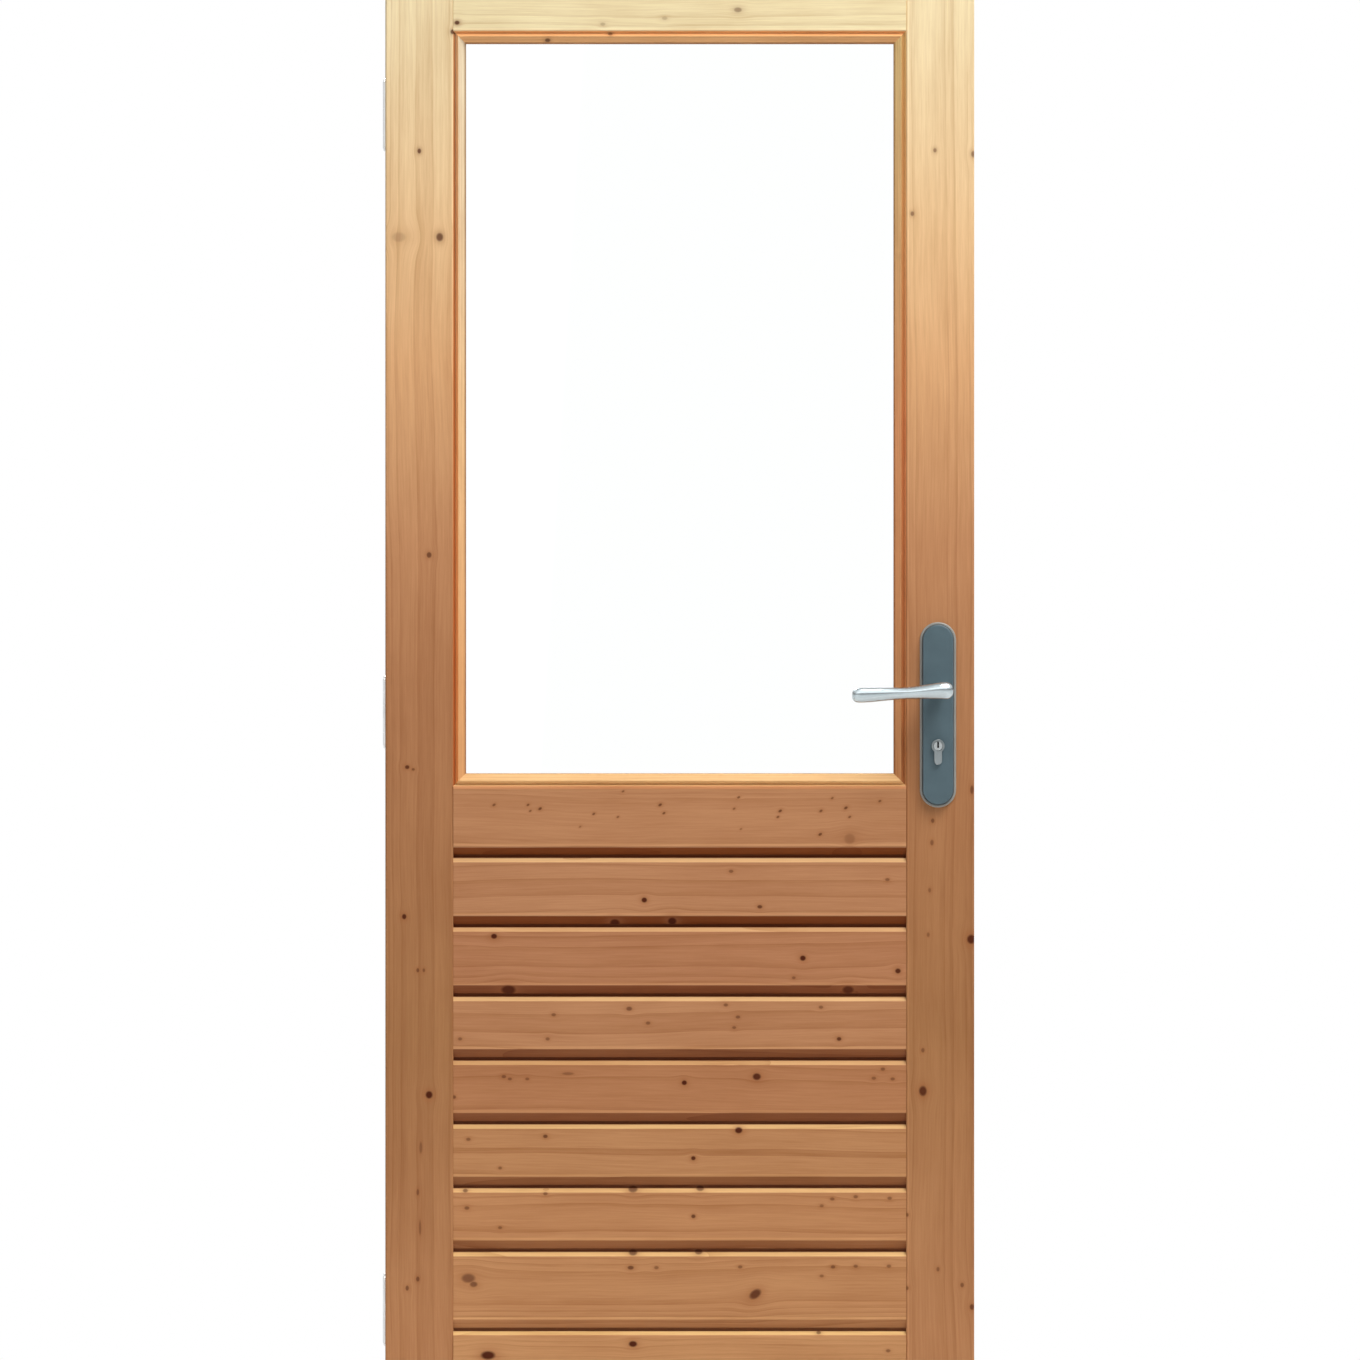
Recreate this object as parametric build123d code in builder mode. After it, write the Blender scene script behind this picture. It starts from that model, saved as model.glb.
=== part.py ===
"""Wooden back door leaf with a clear pane above and V-jointed boards below, hung on three butt hinges.

The front of the leaf faces -Y, X runs from the hinge side to the lock side and Z is up. The origin is on
the face of the bottom hinge that is screwed to the door frame. All sizes are in millimetres.
"""

import os

from build123d import *

os.makedirs("parts", exist_ok=True)

# Leaf
LEAF_WIDTH = 780.0
LEAF_HEIGHT = 2015.0
LEAF_THICK = 40.0
EDGE_GAP = 1.5
EDGE_EASE = 1.5

# Stiles and rails
STILE_FACE = 90.0
TOP_RAIL_FACE = 90.0
MIDDLE_RAIL_TOP = 925.0
REBATE_WIDTH = 16.5
REBATE_DEPTH = 20.0
STICKING = 7.0
ARRIS = 1.5

# Boards and the V joint between them
WIDE_BOARD = 92.0
PLAIN_BOARD = 84.5
DEEP_BOARD = 105.0
BOARD_COVERS = [WIDE_BOARD] * 2 + [PLAIN_BOARD] * 4 + [DEEP_BOARD]
FIRST_JOINT = 832.1
BOARD_RECESS = 1.0
SLOT_HEIGHT = 4.4
DROP_BEVEL_HEIGHT = 11.0
DROP_BEVEL_DEPTH = 7.0
RISE_BEVEL_HEIGHT = 6.4
RISE_BEVEL_DEPTH = 5.8
TONGUE_SET = 11.0
TONGUE_THICK = 4.0
TONGUE_RISE = 8.0
TONGUE_CLEAR = 0.2
GROOVE_SPARE = 1.0

# Glass and its beads
GLASS_THICK = 5.0
GLASS_CLEAR = 2.5
QUIRK_SET = 2.6
QUIRK_DEPTH = 5.0
CREST_SET = 6.4
CREST_FLAT = 0.6
BEAD_NOSE = 1.4
BEAD_FALL = 7.5
BEAD_NOSE_FALL = 1.6

# Butt hinges
HINGE_UP = 230.0
HINGE_DOWN = 200.0
HINGE_LENGTH = 89.0
HINGE_THICK = 2.5
HINGE_LEAF_GAP = 0.8
HINGE_FRONT_SET = 9.0
HINGE_CORNER = 5.0
KNUCKLE_RADIUS = 5.5
KNUCKLE_CLEAR = 1.0
KNUCKLE_COUNT = 5
KNUCKLE_END_GAP = 0.4
PIN_RADIUS = 3.0
PIN_CLEAR = 0.3
PIN_TIP_RADIUS = 4.6
PIN_TIP_HEIGHT = 4.0
PIN_TIP_ROUND = 2.0
HINGE_HOLE_RADIUS = 2.6
HINGE_SINK_RADIUS = 4.6
HINGE_SINK_DEPTH = 1.9
HINGE_HOLE_SPREAD_Y = 14.0
HINGE_HOLE_SPREAD_Z = 60.0
HINGE_HOLE_SET_Y = 4.0
MORTISE_CLEAR = 0.5

# Lock in the edge of the stile
BACKSET = 48.0
SPINDLE_HEIGHT = 1050.0
CYLINDER_DROP = 72.0
FOREND_WIDTH = 20.0
FOREND_LENGTH = 235.0
FOREND_THICK = 3.0
FOREND_DROP = 34.0
FOREND_HOLE_RADIUS = 2.4
FOREND_HOLE_SET = 8.0
CASE_DEPTH = 66.0
CASE_LENGTH = 165.0
CASE_THICK = 15.0
FOLLOWER_RADIUS = 6.2
LATCH_HEIGHT = 26.0
LATCH_THICK = 12.0
LATCH_REACH = 30.0
LATCH_BEVEL = 8.0
DEAD_BOLT_HEIGHT = 34.0
DEAD_BOLT_THICK = 12.0
DEAD_BOLT_REACH = 28.0
BOLT_CLEAR = 0.3

# Handle plates
PLATE_WIDTH = 48.0
PLATE_TOP = 92.0
PLATE_BOTTOM = 153.5
PLATE_BASE = 3.0
PLATE_BASE_EASE = 1.2
PLATE_COVER_SET = 2.6
PLATE_COVER = 7.0
PLATE_COVER_ROUND = 1.6
PLATE_DRAFT = 12.0
PLATE_SCREW_RADIUS = 2.6
PLATE_SCREW_SINK = 4.8
PLATE_SCREW_SINK_DEPTH = 2.2
PLATE_SCREW_TOP = 74.0
PLATE_SCREW_BOTTOM = 135.0

# Euro cylinder and its plugs
CYLINDER_RADIUS = 8.5
CYLINDER_TAIL_WIDTH = 10.0
CYLINDER_TAIL_DROP = 24.5
CYLINDER_PROUD_OUT = 5.0
CYLINDER_PROUD_IN = 3.0
CYLINDER_CLEAR = 0.6
PLUG_RADIUS = 6.3
PLUG_CLEAR = 0.3
PLUG_LENGTH = 27.0
PLUG_EASE = 0.5
KEYWAY_WIDTH = 2.4
KEYWAY_HEIGHT = 8.2
KEYWAY_LIFT = 1.6
KEYWAY_DEPTH = 20.0

# Lever handles and the spindle
SPINDLE_SIZE = 8.0
SPINDLE_SOCKET = 20.0
NECK_RADIUS = 8.0
NECK_CLEAR = 0.3
NECK_REACH = 6.0
STEM_RADIUS = 9.5
STEM_STAND_OFF = 1.0
ARM_STAND_OFF = 38.0
ARM_START = -20.0
ARM_PITCH = 19.0
ARM_TIP_ROUND = 4.6
ARM_ELBOW_ROUND = 9.0
# Each row is one oval of the lever, from the elbow to the tip at an even pitch: lift of the middle, height,
# thickness and how far the middle moves towards the leaf.
ARM_OVALS = [
    (1.2, 23.0, 19.0, 0.0),
    (1.2, 23.4, 19.4, 0.0),
    (-0.4, 19.4, 17.2, 0.4),
    (-2.0, 15.4, 14.2, 1.2),
    (-2.6, 15.8, 12.6, 1.8),
    (-3.7, 18.0, 11.8, 2.0),
    (-4.7, 19.6, 11.2, 1.6),
    (-5.2, 19.8, 10.8, 1.0),
]

# Where the leaf stands
X_HINGE = EDGE_GAP
X_LOCK = EDGE_GAP + LEAF_WIDTH
Z_BOTTOM = -HINGE_UP
Z_TOP = Z_BOTTOM + LEAF_HEIGHT
Y_FRONT = -LEAF_THICK / 2
Y_BACK = LEAF_THICK / 2
Y_SEAT = Y_FRONT + REBATE_DEPTH
X_STILE_LEFT = X_HINGE + STILE_FACE
X_STILE_RIGHT = X_LOCK - STILE_FACE
X_LIP_LEFT = X_STILE_LEFT + REBATE_WIDTH
X_LIP_RIGHT = X_STILE_RIGHT - REBATE_WIDTH
X_MIDDLE = (X_HINGE + X_LOCK) / 2

# Where the rails, boards and glass stand
Z_TOP_RAIL = Z_TOP - TOP_RAIL_FACE
Z_MIDDLE_RAIL = Z_BOTTOM + MIDDLE_RAIL_TOP
JOINTS = [Z_BOTTOM + FIRST_JOINT]
for cover in BOARD_COVERS:
    JOINTS.append(JOINTS[-1] - cover)
Y_BOARD = Y_FRONT + BOARD_RECESS
Y_DROP = Y_BOARD + DROP_BEVEL_DEPTH
Y_RISE = Y_BOARD + RISE_BEVEL_DEPTH
Y_TONGUE_FRONT = Y_BOARD + TONGUE_SET
Y_TONGUE_BACK = Y_TONGUE_FRONT + TONGUE_THICK
Y_GLASS = Y_SEAT - GLASS_THICK

# Where the hinges stand
X_DOOR_LEAF = HINGE_THICK + HINGE_LEAF_GAP
X_MORTISE = X_DOOR_LEAF + HINGE_THICK
X_PIN = HINGE_THICK + HINGE_LEAF_GAP / 2
Y_PIN = Y_BACK + KNUCKLE_RADIUS + KNUCKLE_CLEAR
Y_HINGE_FRONT = Y_FRONT + HINGE_FRONT_SET
Z_HINGES = {
    "top": Z_TOP - HINGE_DOWN,
    "middle": (Z_TOP - HINGE_DOWN) / 2,
    "bottom": 0.0,
}

# Where the lock and the handles stand
X_SPINDLE = X_LOCK - BACKSET
Z_SPINDLE = Z_BOTTOM + SPINDLE_HEIGHT
Z_CYLINDER = Z_SPINDLE - CYLINDER_DROP
Z_FOREND = Z_SPINDLE - FOREND_DROP
PLATE_THICK = PLATE_BASE + PLATE_COVER
Z_PLATE = Z_SPINDLE + (PLATE_TOP - PLATE_BOTTOM) / 2
PLATE_HEIGHT = PLATE_TOP + PLATE_BOTTOM
Y_OUTER_PLATE = Y_FRONT - PLATE_THICK
Y_INNER_PLATE = Y_BACK + PLATE_THICK


def outline(points, plane, reach):
    """One solid from a closed outline drawn on a plane and drawn out along its normal."""
    with BuildPart() as solid:
        with BuildSketch(plane):
            with BuildLine():
                Polyline(*points, close=True)
            make_face()
        extrude(amount=reach)
    return solid.part


def block(x_range, y_range, z_range):
    """One box between two values on each axis."""
    size = [abs(r[1] - r[0]) for r in (x_range, y_range, z_range)]
    centre = [(r[0] + r[1]) / 2 for r in (x_range, y_range, z_range)]
    return Pos(*centre) * Box(*size, mode=Mode.PRIVATE)


def rod(radius, x, z, y_from, y_to):
    """One round bar along Y."""
    turned = Rotation(90, 0, 0) * Cylinder(radius, abs(y_to - y_from), mode=Mode.PRIVATE)
    return Pos(x, (y_from + y_to) / 2, z) * turned


def stile_outline():
    """Section of the hinge stile: eased outer edges, rebate at the front, sticking on the back lip."""
    return [
        (X_HINGE, Y_BACK - EDGE_EASE),
        (X_HINGE, Y_FRONT + EDGE_EASE),
        (X_HINGE + EDGE_EASE, Y_FRONT),
        (X_STILE_LEFT - ARRIS, Y_FRONT),
        (X_STILE_LEFT, Y_FRONT + ARRIS),
        (X_STILE_LEFT, Y_SEAT),
        (X_LIP_LEFT, Y_SEAT),
        (X_LIP_LEFT, Y_BACK - STICKING),
        (X_LIP_LEFT - STICKING, Y_BACK),
        (X_HINGE + EDGE_EASE, Y_BACK),
    ]


def euro_outline(spare):
    """Solid euro profile through the whole door, larger all round by the spare."""
    reach = (Y_OUTER_PLATE - CYLINDER_PROUD_OUT, Y_INNER_PLATE + CYLINDER_PROUD_IN)
    half_tail = CYLINDER_TAIL_WIDTH / 2
    z_tail = Z_CYLINDER - CYLINDER_TAIL_DROP + half_tail
    barrel = rod(CYLINDER_RADIUS + spare, X_SPINDLE, Z_CYLINDER, *reach)
    foot = rod(half_tail + spare, X_SPINDLE, z_tail, *reach)
    sides = (X_SPINDLE - half_tail - spare, X_SPINDLE + half_tail + spare)
    return barrel + foot + block(sides, reach, (z_tail, Z_CYLINDER))


def case_block(spare):
    """Space of the lock case behind its forend, larger all round by the spare."""
    half = CASE_THICK / 2 + spare
    z_half = CASE_LENGTH / 2 + spare
    x_case = X_LOCK - FOREND_THICK
    depth = (x_case - CASE_DEPTH - spare, x_case)
    return block(depth, (-half, half), (Z_FOREND - z_half, Z_FOREND + z_half))


def forend_block(spare):
    """Space of the forend plate, larger round its outline by the spare."""
    half = FOREND_WIDTH / 2 + spare
    z_half = FOREND_LENGTH / 2 + spare
    return block((X_LOCK - FOREND_THICK, X_LOCK), (-half, half), (Z_FOREND - z_half, Z_FOREND + z_half))


# Hinge stile with three mortises for the hinges
stile_left = outline(stile_outline(), Plane.XY.offset(Z_BOTTOM), LEAF_HEIGHT)
half_mortise = HINGE_LENGTH / 2 + MORTISE_CLEAR
with BuildPart() as hinge_stile:
    add(stile_left)
    for z_hinge in Z_HINGES.values():
        mortise = block(
            (X_HINGE - EDGE_GAP, X_MORTISE),
            (Y_HINGE_FRONT - MORTISE_CLEAR, Y_BACK),
            (z_hinge - half_mortise, z_hinge + half_mortise),
        )
        add(mortise, mode=Mode.SUBTRACT)
hinge_stile.part.label = "hinge_stile"
export_step(hinge_stile.part, "parts/hinge_stile.step")

# Lock stile with the mortise of the lock and the holes for the spindle and the cylinder
stile_right = mirror(stile_left, about=Plane.YZ.offset(X_MIDDLE))
with BuildPart() as lock_stile:
    add(stile_right)
    add(forend_block(0), mode=Mode.SUBTRACT)
    add(case_block(MORTISE_CLEAR), mode=Mode.SUBTRACT)
    add(euro_outline(CYLINDER_CLEAR * 2), mode=Mode.SUBTRACT)
    add(rod(NECK_RADIUS + STEM_STAND_OFF, X_SPINDLE, Z_SPINDLE, Y_FRONT, Y_BACK), mode=Mode.SUBTRACT)
lock_stile.part.label = "lock_stile"
export_step(lock_stile.part, "parts/lock_stile.step")


def rail(front_points, back_points):
    """Cross rail: the front half stands between the stile faces, the back half is scribed over their lips."""
    x_front = X_STILE_LEFT
    x_back = X_LIP_LEFT - STICKING
    front_half = outline(front_points, Plane.YZ.offset(x_front), X_STILE_RIGHT - X_STILE_LEFT)
    back_half = outline(back_points, Plane.YZ.offset(x_back), X_LIP_RIGHT + STICKING - x_back)
    return front_half + (back_half - stile_left - stile_right)


def drop_edge(joint, y_face):
    """Lower edge of a board or rail from back to front: groove for a tongue, then the bevel up to the face."""
    z_low = joint + SLOT_HEIGHT / 2
    z_groove = z_low + TONGUE_RISE + GROOVE_SPARE
    return [
        (Y_SEAT, z_low),
        (Y_TONGUE_BACK + TONGUE_CLEAR, z_low),
        (Y_TONGUE_BACK + TONGUE_CLEAR, z_groove),
        (Y_TONGUE_FRONT - TONGUE_CLEAR, z_groove),
        (Y_TONGUE_FRONT - TONGUE_CLEAR, z_low),
        (Y_DROP, z_low),
        (y_face, z_low + DROP_BEVEL_HEIGHT),
    ]


def rise_edge(joint, y_face):
    """Upper edge of a board or rail from front to back: bevel, ledge, tongue and back shoulder."""
    z_high = joint - SLOT_HEIGHT / 2
    z_shoulder = joint + SLOT_HEIGHT / 2
    return [
        (y_face, z_high - RISE_BEVEL_HEIGHT),
        (Y_RISE, z_high),
        (Y_TONGUE_FRONT, z_high),
        (Y_TONGUE_FRONT, z_shoulder + TONGUE_RISE),
        (Y_TONGUE_BACK, z_shoulder + TONGUE_RISE),
        (Y_TONGUE_BACK, z_shoulder),
        (Y_SEAT, z_shoulder),
    ]


# Top rail
top_front = [
    (Y_FRONT, Z_TOP),
    (Y_FRONT, Z_TOP_RAIL + ARRIS),
    (Y_FRONT + ARRIS, Z_TOP_RAIL),
    (Y_SEAT, Z_TOP_RAIL),
    (Y_SEAT, Z_TOP),
]
top_back = [
    (Y_SEAT, Z_TOP),
    (Y_SEAT, Z_TOP_RAIL - REBATE_WIDTH),
    (Y_BACK - STICKING, Z_TOP_RAIL - REBATE_WIDTH),
    (Y_BACK, Z_TOP_RAIL - REBATE_WIDTH + STICKING),
    (Y_BACK, Z_TOP),
]
top_solid = rail(top_front, top_back)
with BuildPart() as top_rail:
    add(top_solid)
top_rail.part.label = "top_rail"
export_step(top_rail.part, "parts/top_rail.step")

# Middle rail between the glass and the boards
middle_front = [
    (Y_FRONT, Z_MIDDLE_RAIL - ARRIS),
    (Y_FRONT + ARRIS, Z_MIDDLE_RAIL),
    (Y_SEAT, Z_MIDDLE_RAIL),
    *drop_edge(JOINTS[0], Y_FRONT),
]
Z_MIDDLE_LIP = JOINTS[0] - REBATE_WIDTH
middle_back = [
    (Y_SEAT, Z_MIDDLE_RAIL + REBATE_WIDTH),
    (Y_BACK - STICKING, Z_MIDDLE_RAIL + REBATE_WIDTH),
    (Y_BACK, Z_MIDDLE_RAIL + REBATE_WIDTH - STICKING),
    (Y_BACK, Z_MIDDLE_LIP + STICKING),
    (Y_BACK - STICKING, Z_MIDDLE_LIP),
    (Y_SEAT, Z_MIDDLE_LIP),
]
middle_solid = rail(middle_front, middle_back)
with BuildPart() as middle_rail:
    add(middle_solid)
middle_rail.part.label = "middle_rail"
export_step(middle_rail.part, "parts/middle_rail.step")

# Bottom rail
Z_BOTTOM_LIP = JOINTS[-1] + REBATE_WIDTH
bottom_front = [
    (Y_SEAT, Z_BOTTOM),
    (Y_FRONT, Z_BOTTOM),
    *rise_edge(JOINTS[-1], Y_FRONT),
]
bottom_back = [
    (Y_SEAT, Z_BOTTOM),
    (Y_SEAT, Z_BOTTOM_LIP),
    (Y_BACK - STICKING, Z_BOTTOM_LIP),
    (Y_BACK, Z_BOTTOM_LIP - STICKING),
    (Y_BACK, Z_BOTTOM),
]
bottom_solid = rail(bottom_front, bottom_back)
with BuildPart() as bottom_rail:
    add(bottom_solid)
bottom_rail.part.label = "bottom_rail"
export_step(bottom_rail.part, "parts/bottom_rail.step")

# V-jointed boards, numbered from the top
for number in range(len(BOARD_COVERS)):
    board_outline = drop_edge(JOINTS[number + 1], Y_BOARD) + rise_edge(JOINTS[number], Y_BOARD)
    board_solid = outline(board_outline, Plane.YZ.offset(X_STILE_LEFT), X_STILE_RIGHT - X_STILE_LEFT)
    with BuildPart() as board:
        add(board_solid)
    board.part.label = f"board_{number + 1}"
    export_step(board.part, f"parts/board_{number + 1}.step")

# Glass pane in the rebates
with BuildPart() as glass_pane:
    add(
        block(
            (X_STILE_LEFT + GLASS_CLEAR, X_STILE_RIGHT - GLASS_CLEAR),
            (Y_GLASS, Y_SEAT),
            (Z_MIDDLE_RAIL + GLASS_CLEAR, Z_TOP_RAIL - GLASS_CLEAR),
        )
    )
glass_pane.part.label = "glass_pane"
export_step(glass_pane.part, "parts/glass_pane.step")


def bead_outline(wall, side):
    """Section of a glazing bead: V quirk by the rebate wall, crest, long fall to a small nose at the glass."""
    crest = Y_FRONT
    steps = [
        (0, Y_GLASS),
        (0, crest + ARRIS),
        (QUIRK_SET, crest + QUIRK_DEPTH),
        (CREST_SET, crest),
        (CREST_SET + CREST_FLAT, crest),
        (REBATE_WIDTH - BEAD_NOSE, crest + BEAD_FALL),
        (REBATE_WIDTH, crest + BEAD_FALL + BEAD_NOSE_FALL),
        (REBATE_WIDTH, Y_GLASS),
    ]
    return [(wall + side * set_in, y) for set_in, y in steps]


# Glazing beads, mitred at the four corners
RUN_X = X_STILE_RIGHT - X_STILE_LEFT
RUN_Z = Z_TOP_RAIL - Z_MIDDLE_RAIL
X_BEAD = (X_STILE_LEFT, X_LIP_LEFT, X_LIP_RIGHT, X_STILE_RIGHT)
Z_BEAD = (
    Z_MIDDLE_RAIL,
    Z_MIDDLE_RAIL + REBATE_WIDTH,
    Z_TOP_RAIL - REBATE_WIDTH,
    Z_TOP_RAIL,
)


def level_bead(wall_z, side):
    """Long bar for a bead that runs along X."""
    section = [(y, z) for z, y in bead_outline(wall_z, side)]
    return outline(section, Plane.YZ.offset(X_STILE_LEFT), RUN_X)


def upright_bead(wall_x, side):
    """Long bar for a bead that runs along Z."""
    return outline(bead_outline(wall_x, side), Plane.XY.offset(Z_MIDDLE_RAIL), RUN_Z)


def front_wedge(corners):
    """Prism through the leaf's thickness over an outline given as X and Z."""
    return outline(corners, Plane(origin=(0, Y_BACK, 0), x_dir=(1, 0, 0), z_dir=(0, -1, 0)), LEAF_THICK)


BEADS = {
    "top_bead": (
        level_bead(Z_TOP_RAIL, -1),
        [(X_BEAD[0], Z_BEAD[3]), (X_BEAD[3], Z_BEAD[3]), (X_BEAD[2], Z_BEAD[2]), (X_BEAD[1], Z_BEAD[2])],
    ),
    "bottom_bead": (
        level_bead(Z_MIDDLE_RAIL, 1),
        [(X_BEAD[0], Z_BEAD[0]), (X_BEAD[3], Z_BEAD[0]), (X_BEAD[2], Z_BEAD[1]), (X_BEAD[1], Z_BEAD[1])],
    ),
    "hinge_side_bead": (
        upright_bead(X_STILE_LEFT, 1),
        [(X_BEAD[0], Z_BEAD[0]), (X_BEAD[0], Z_BEAD[3]), (X_BEAD[1], Z_BEAD[2]), (X_BEAD[1], Z_BEAD[1])],
    ),
    "lock_side_bead": (
        upright_bead(X_STILE_RIGHT, -1),
        [(X_BEAD[3], Z_BEAD[0]), (X_BEAD[3], Z_BEAD[3]), (X_BEAD[2], Z_BEAD[2]), (X_BEAD[2], Z_BEAD[1])],
    ),
}
for bead_name, (bar, corners) in BEADS.items():
    wedge = front_wedge(corners)
    with BuildPart() as bead:
        add(bar)
        add(wedge, mode=Mode.INTERSECT)
    bead.part.label = bead_name
    export_step(bead.part, f"parts/{bead_name}.step")


# Butt hinges
KNUCKLE_PITCH = HINGE_LENGTH / KNUCKLE_COUNT


def hinge_leaf(x_range, z_hinge, first, bore, sink_side):
    """One hinge leaf: plate, every second knuckle from the first one, and four countersunk holes."""
    half = HINGE_LENGTH / 2
    reach = KNUCKLE_RADIUS + KNUCKLE_CLEAR
    half_pitch = KNUCKLE_PITCH / 2
    x_sink = x_range[1] if sink_side > 0 else x_range[0]
    along = Rotation(0, 90 * sink_side, 0)
    with BuildPart() as leaf:
        add(block(x_range, (Y_HINGE_FRONT, Y_PIN), (z_hinge - half, z_hinge + half)))
        fillet(leaf.edges().filter_by(Axis.X).group_by(Axis.Y)[0], HINGE_CORNER)
        for index in range(KNUCKLE_COUNT):
            z_mid = z_hinge - half + index * KNUCKLE_PITCH + half_pitch
            if index % 2 == first:
                barrel = Cylinder(KNUCKLE_RADIUS, KNUCKLE_PITCH - KNUCKLE_END_GAP, mode=Mode.PRIVATE)
                add(Pos(X_PIN, Y_PIN, z_mid) * barrel)
        for index in range(KNUCKLE_COUNT):
            z_mid = z_hinge - half + index * KNUCKLE_PITCH + half_pitch
            if index % 2 != first:
                space = block(
                    (X_PIN - reach, X_PIN + reach),
                    (Y_PIN - reach, Y_PIN + reach),
                    (z_mid - half_pitch - KNUCKLE_END_GAP / 2, z_mid + half_pitch + KNUCKLE_END_GAP / 2),
                )
                add(space, mode=Mode.SUBTRACT)
        hole = Cylinder(bore, HINGE_LENGTH * 2, mode=Mode.PRIVATE)
        add(Pos(X_PIN, Y_PIN, z_hinge) * hole, mode=Mode.SUBTRACT)
        for sign_y in (-1, 1):
            for sign_z in (-1, 1):
                y = HINGE_HOLE_SET_Y + sign_y * HINGE_HOLE_SPREAD_Y / 2
                z = z_hinge + sign_z * HINGE_HOLE_SPREAD_Z / 2
                shank = Cylinder(HINGE_HOLE_RADIUS, HINGE_THICK * 4, mode=Mode.PRIVATE)
                add(Pos(x_sink, y, z) * (along * shank), mode=Mode.SUBTRACT)
                cone = Cone(HINGE_HOLE_RADIUS, HINGE_SINK_RADIUS, HINGE_SINK_DEPTH, mode=Mode.PRIVATE)
                x_cone = x_sink - sink_side * HINGE_SINK_DEPTH / 2
                add(Pos(x_cone, y, z) * (along * cone), mode=Mode.SUBTRACT)
    return leaf.part


def pin(z_hinge):
    """Hinge pin with a rounded tip at each end."""
    tip_lift = (HINGE_LENGTH + PIN_TIP_HEIGHT) / 2
    with BuildPart() as bar:
        add(Pos(X_PIN, Y_PIN, z_hinge) * Cylinder(PIN_RADIUS, HINGE_LENGTH, mode=Mode.PRIVATE))
        for sign in (-1, 1):
            tip = Cylinder(PIN_TIP_RADIUS, PIN_TIP_HEIGHT, mode=Mode.PRIVATE)
            add(Pos(X_PIN, Y_PIN, z_hinge + sign * tip_lift) * tip)
        rims = bar.edges().filter_by(GeomType.CIRCLE).group_by(Axis.Z)
        fillet(rims[0] + rims[-1], PIN_TIP_ROUND)
    return bar.part


for place, z_hinge in Z_HINGES.items():
    frame_solid = hinge_leaf((0, HINGE_THICK), z_hinge, 0, PIN_RADIUS, 1)
    with BuildPart() as frame_leaf:
        add(frame_solid)
    frame_leaf.part.label = f"{place}_hinge_frame_leaf"
    export_step(frame_leaf.part, f"parts/{place}_hinge_frame_leaf.step")
    door_solid = hinge_leaf((X_DOOR_LEAF, X_MORTISE), z_hinge, 1, PIN_RADIUS + PIN_CLEAR, -1)
    with BuildPart() as door_leaf:
        add(door_solid)
    door_leaf.part.label = f"{place}_hinge_door_leaf"
    export_step(door_leaf.part, f"parts/{place}_hinge_door_leaf.step")
    pin_solid = pin(z_hinge)
    with BuildPart() as hinge_pin:
        add(pin_solid)
    hinge_pin.part.label = f"{place}_hinge_pin"
    export_step(hinge_pin.part, f"parts/{place}_hinge_pin.step")

# Latch bolt and dead bolt, both drawn back flush with the forend
x_latch = (X_LOCK - LATCH_REACH, X_LOCK)
y_latch = (-LATCH_THICK / 2, LATCH_THICK / 2)
z_latch = (Z_SPINDLE - LATCH_HEIGHT / 2, Z_SPINDLE + LATCH_HEIGHT / 2)
z_dead = (Z_CYLINDER - DEAD_BOLT_HEIGHT / 2, Z_CYLINDER + DEAD_BOLT_HEIGHT / 2)
x_dead = (X_LOCK - DEAD_BOLT_REACH, X_LOCK)
y_dead = (-DEAD_BOLT_THICK / 2, DEAD_BOLT_THICK / 2)
with BuildPart() as latch_bolt:
    add(block(x_latch, y_latch, z_latch))
    nose = latch_bolt.part.edges().filter_by(Axis.Z).group_by(Axis.X)[-1].sort_by(Axis.Y)[-1]
    chamfer(nose, LATCH_BEVEL)
latch_bolt.part.label = "latch_bolt"
export_step(latch_bolt.part, "parts/latch_bolt.step")
with BuildPart() as dead_bolt:
    add(block(x_dead, y_dead, z_dead))
dead_bolt.part.label = "dead_bolt"
export_step(dead_bolt.part, "parts/dead_bolt.step")


def grown(values, spare):
    """A range made wider at both ends by the spare."""
    return (values[0] - spare, values[1] + spare)


# Mortice lock: forend and case, with pockets for the bolts and holes for spindle and cylinder
with BuildPart() as mortice_lock:
    add(forend_block(-MORTISE_CLEAR))
    add(case_block(0))
    for x_bolt, y_bolt, z_bolt in ((x_latch, y_latch, z_latch), (x_dead, y_dead, z_dead)):
        pocket = block(x_bolt, grown(y_bolt, BOLT_CLEAR), grown(z_bolt, BOLT_CLEAR))
        add(pocket, mode=Mode.SUBTRACT)
    add(rod(FOLLOWER_RADIUS, X_SPINDLE, Z_SPINDLE, Y_FRONT, Y_BACK), mode=Mode.SUBTRACT)
    add(euro_outline(CYLINDER_CLEAR / 2), mode=Mode.SUBTRACT)
    for sign in (-1, 1):
        z_screw = Z_FOREND + sign * (FOREND_LENGTH / 2 - FOREND_HOLE_SET)
        shank = Rotation(0, 90, 0) * Cylinder(FOREND_HOLE_RADIUS, FOREND_THICK * 2, mode=Mode.PRIVATE)
        add(Pos(X_LOCK - FOREND_THICK / 2, 0, z_screw) * shank, mode=Mode.SUBTRACT)
mortice_lock.part.label = "mortice_lock"
export_step(mortice_lock.part, "parts/mortice_lock.step")


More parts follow.
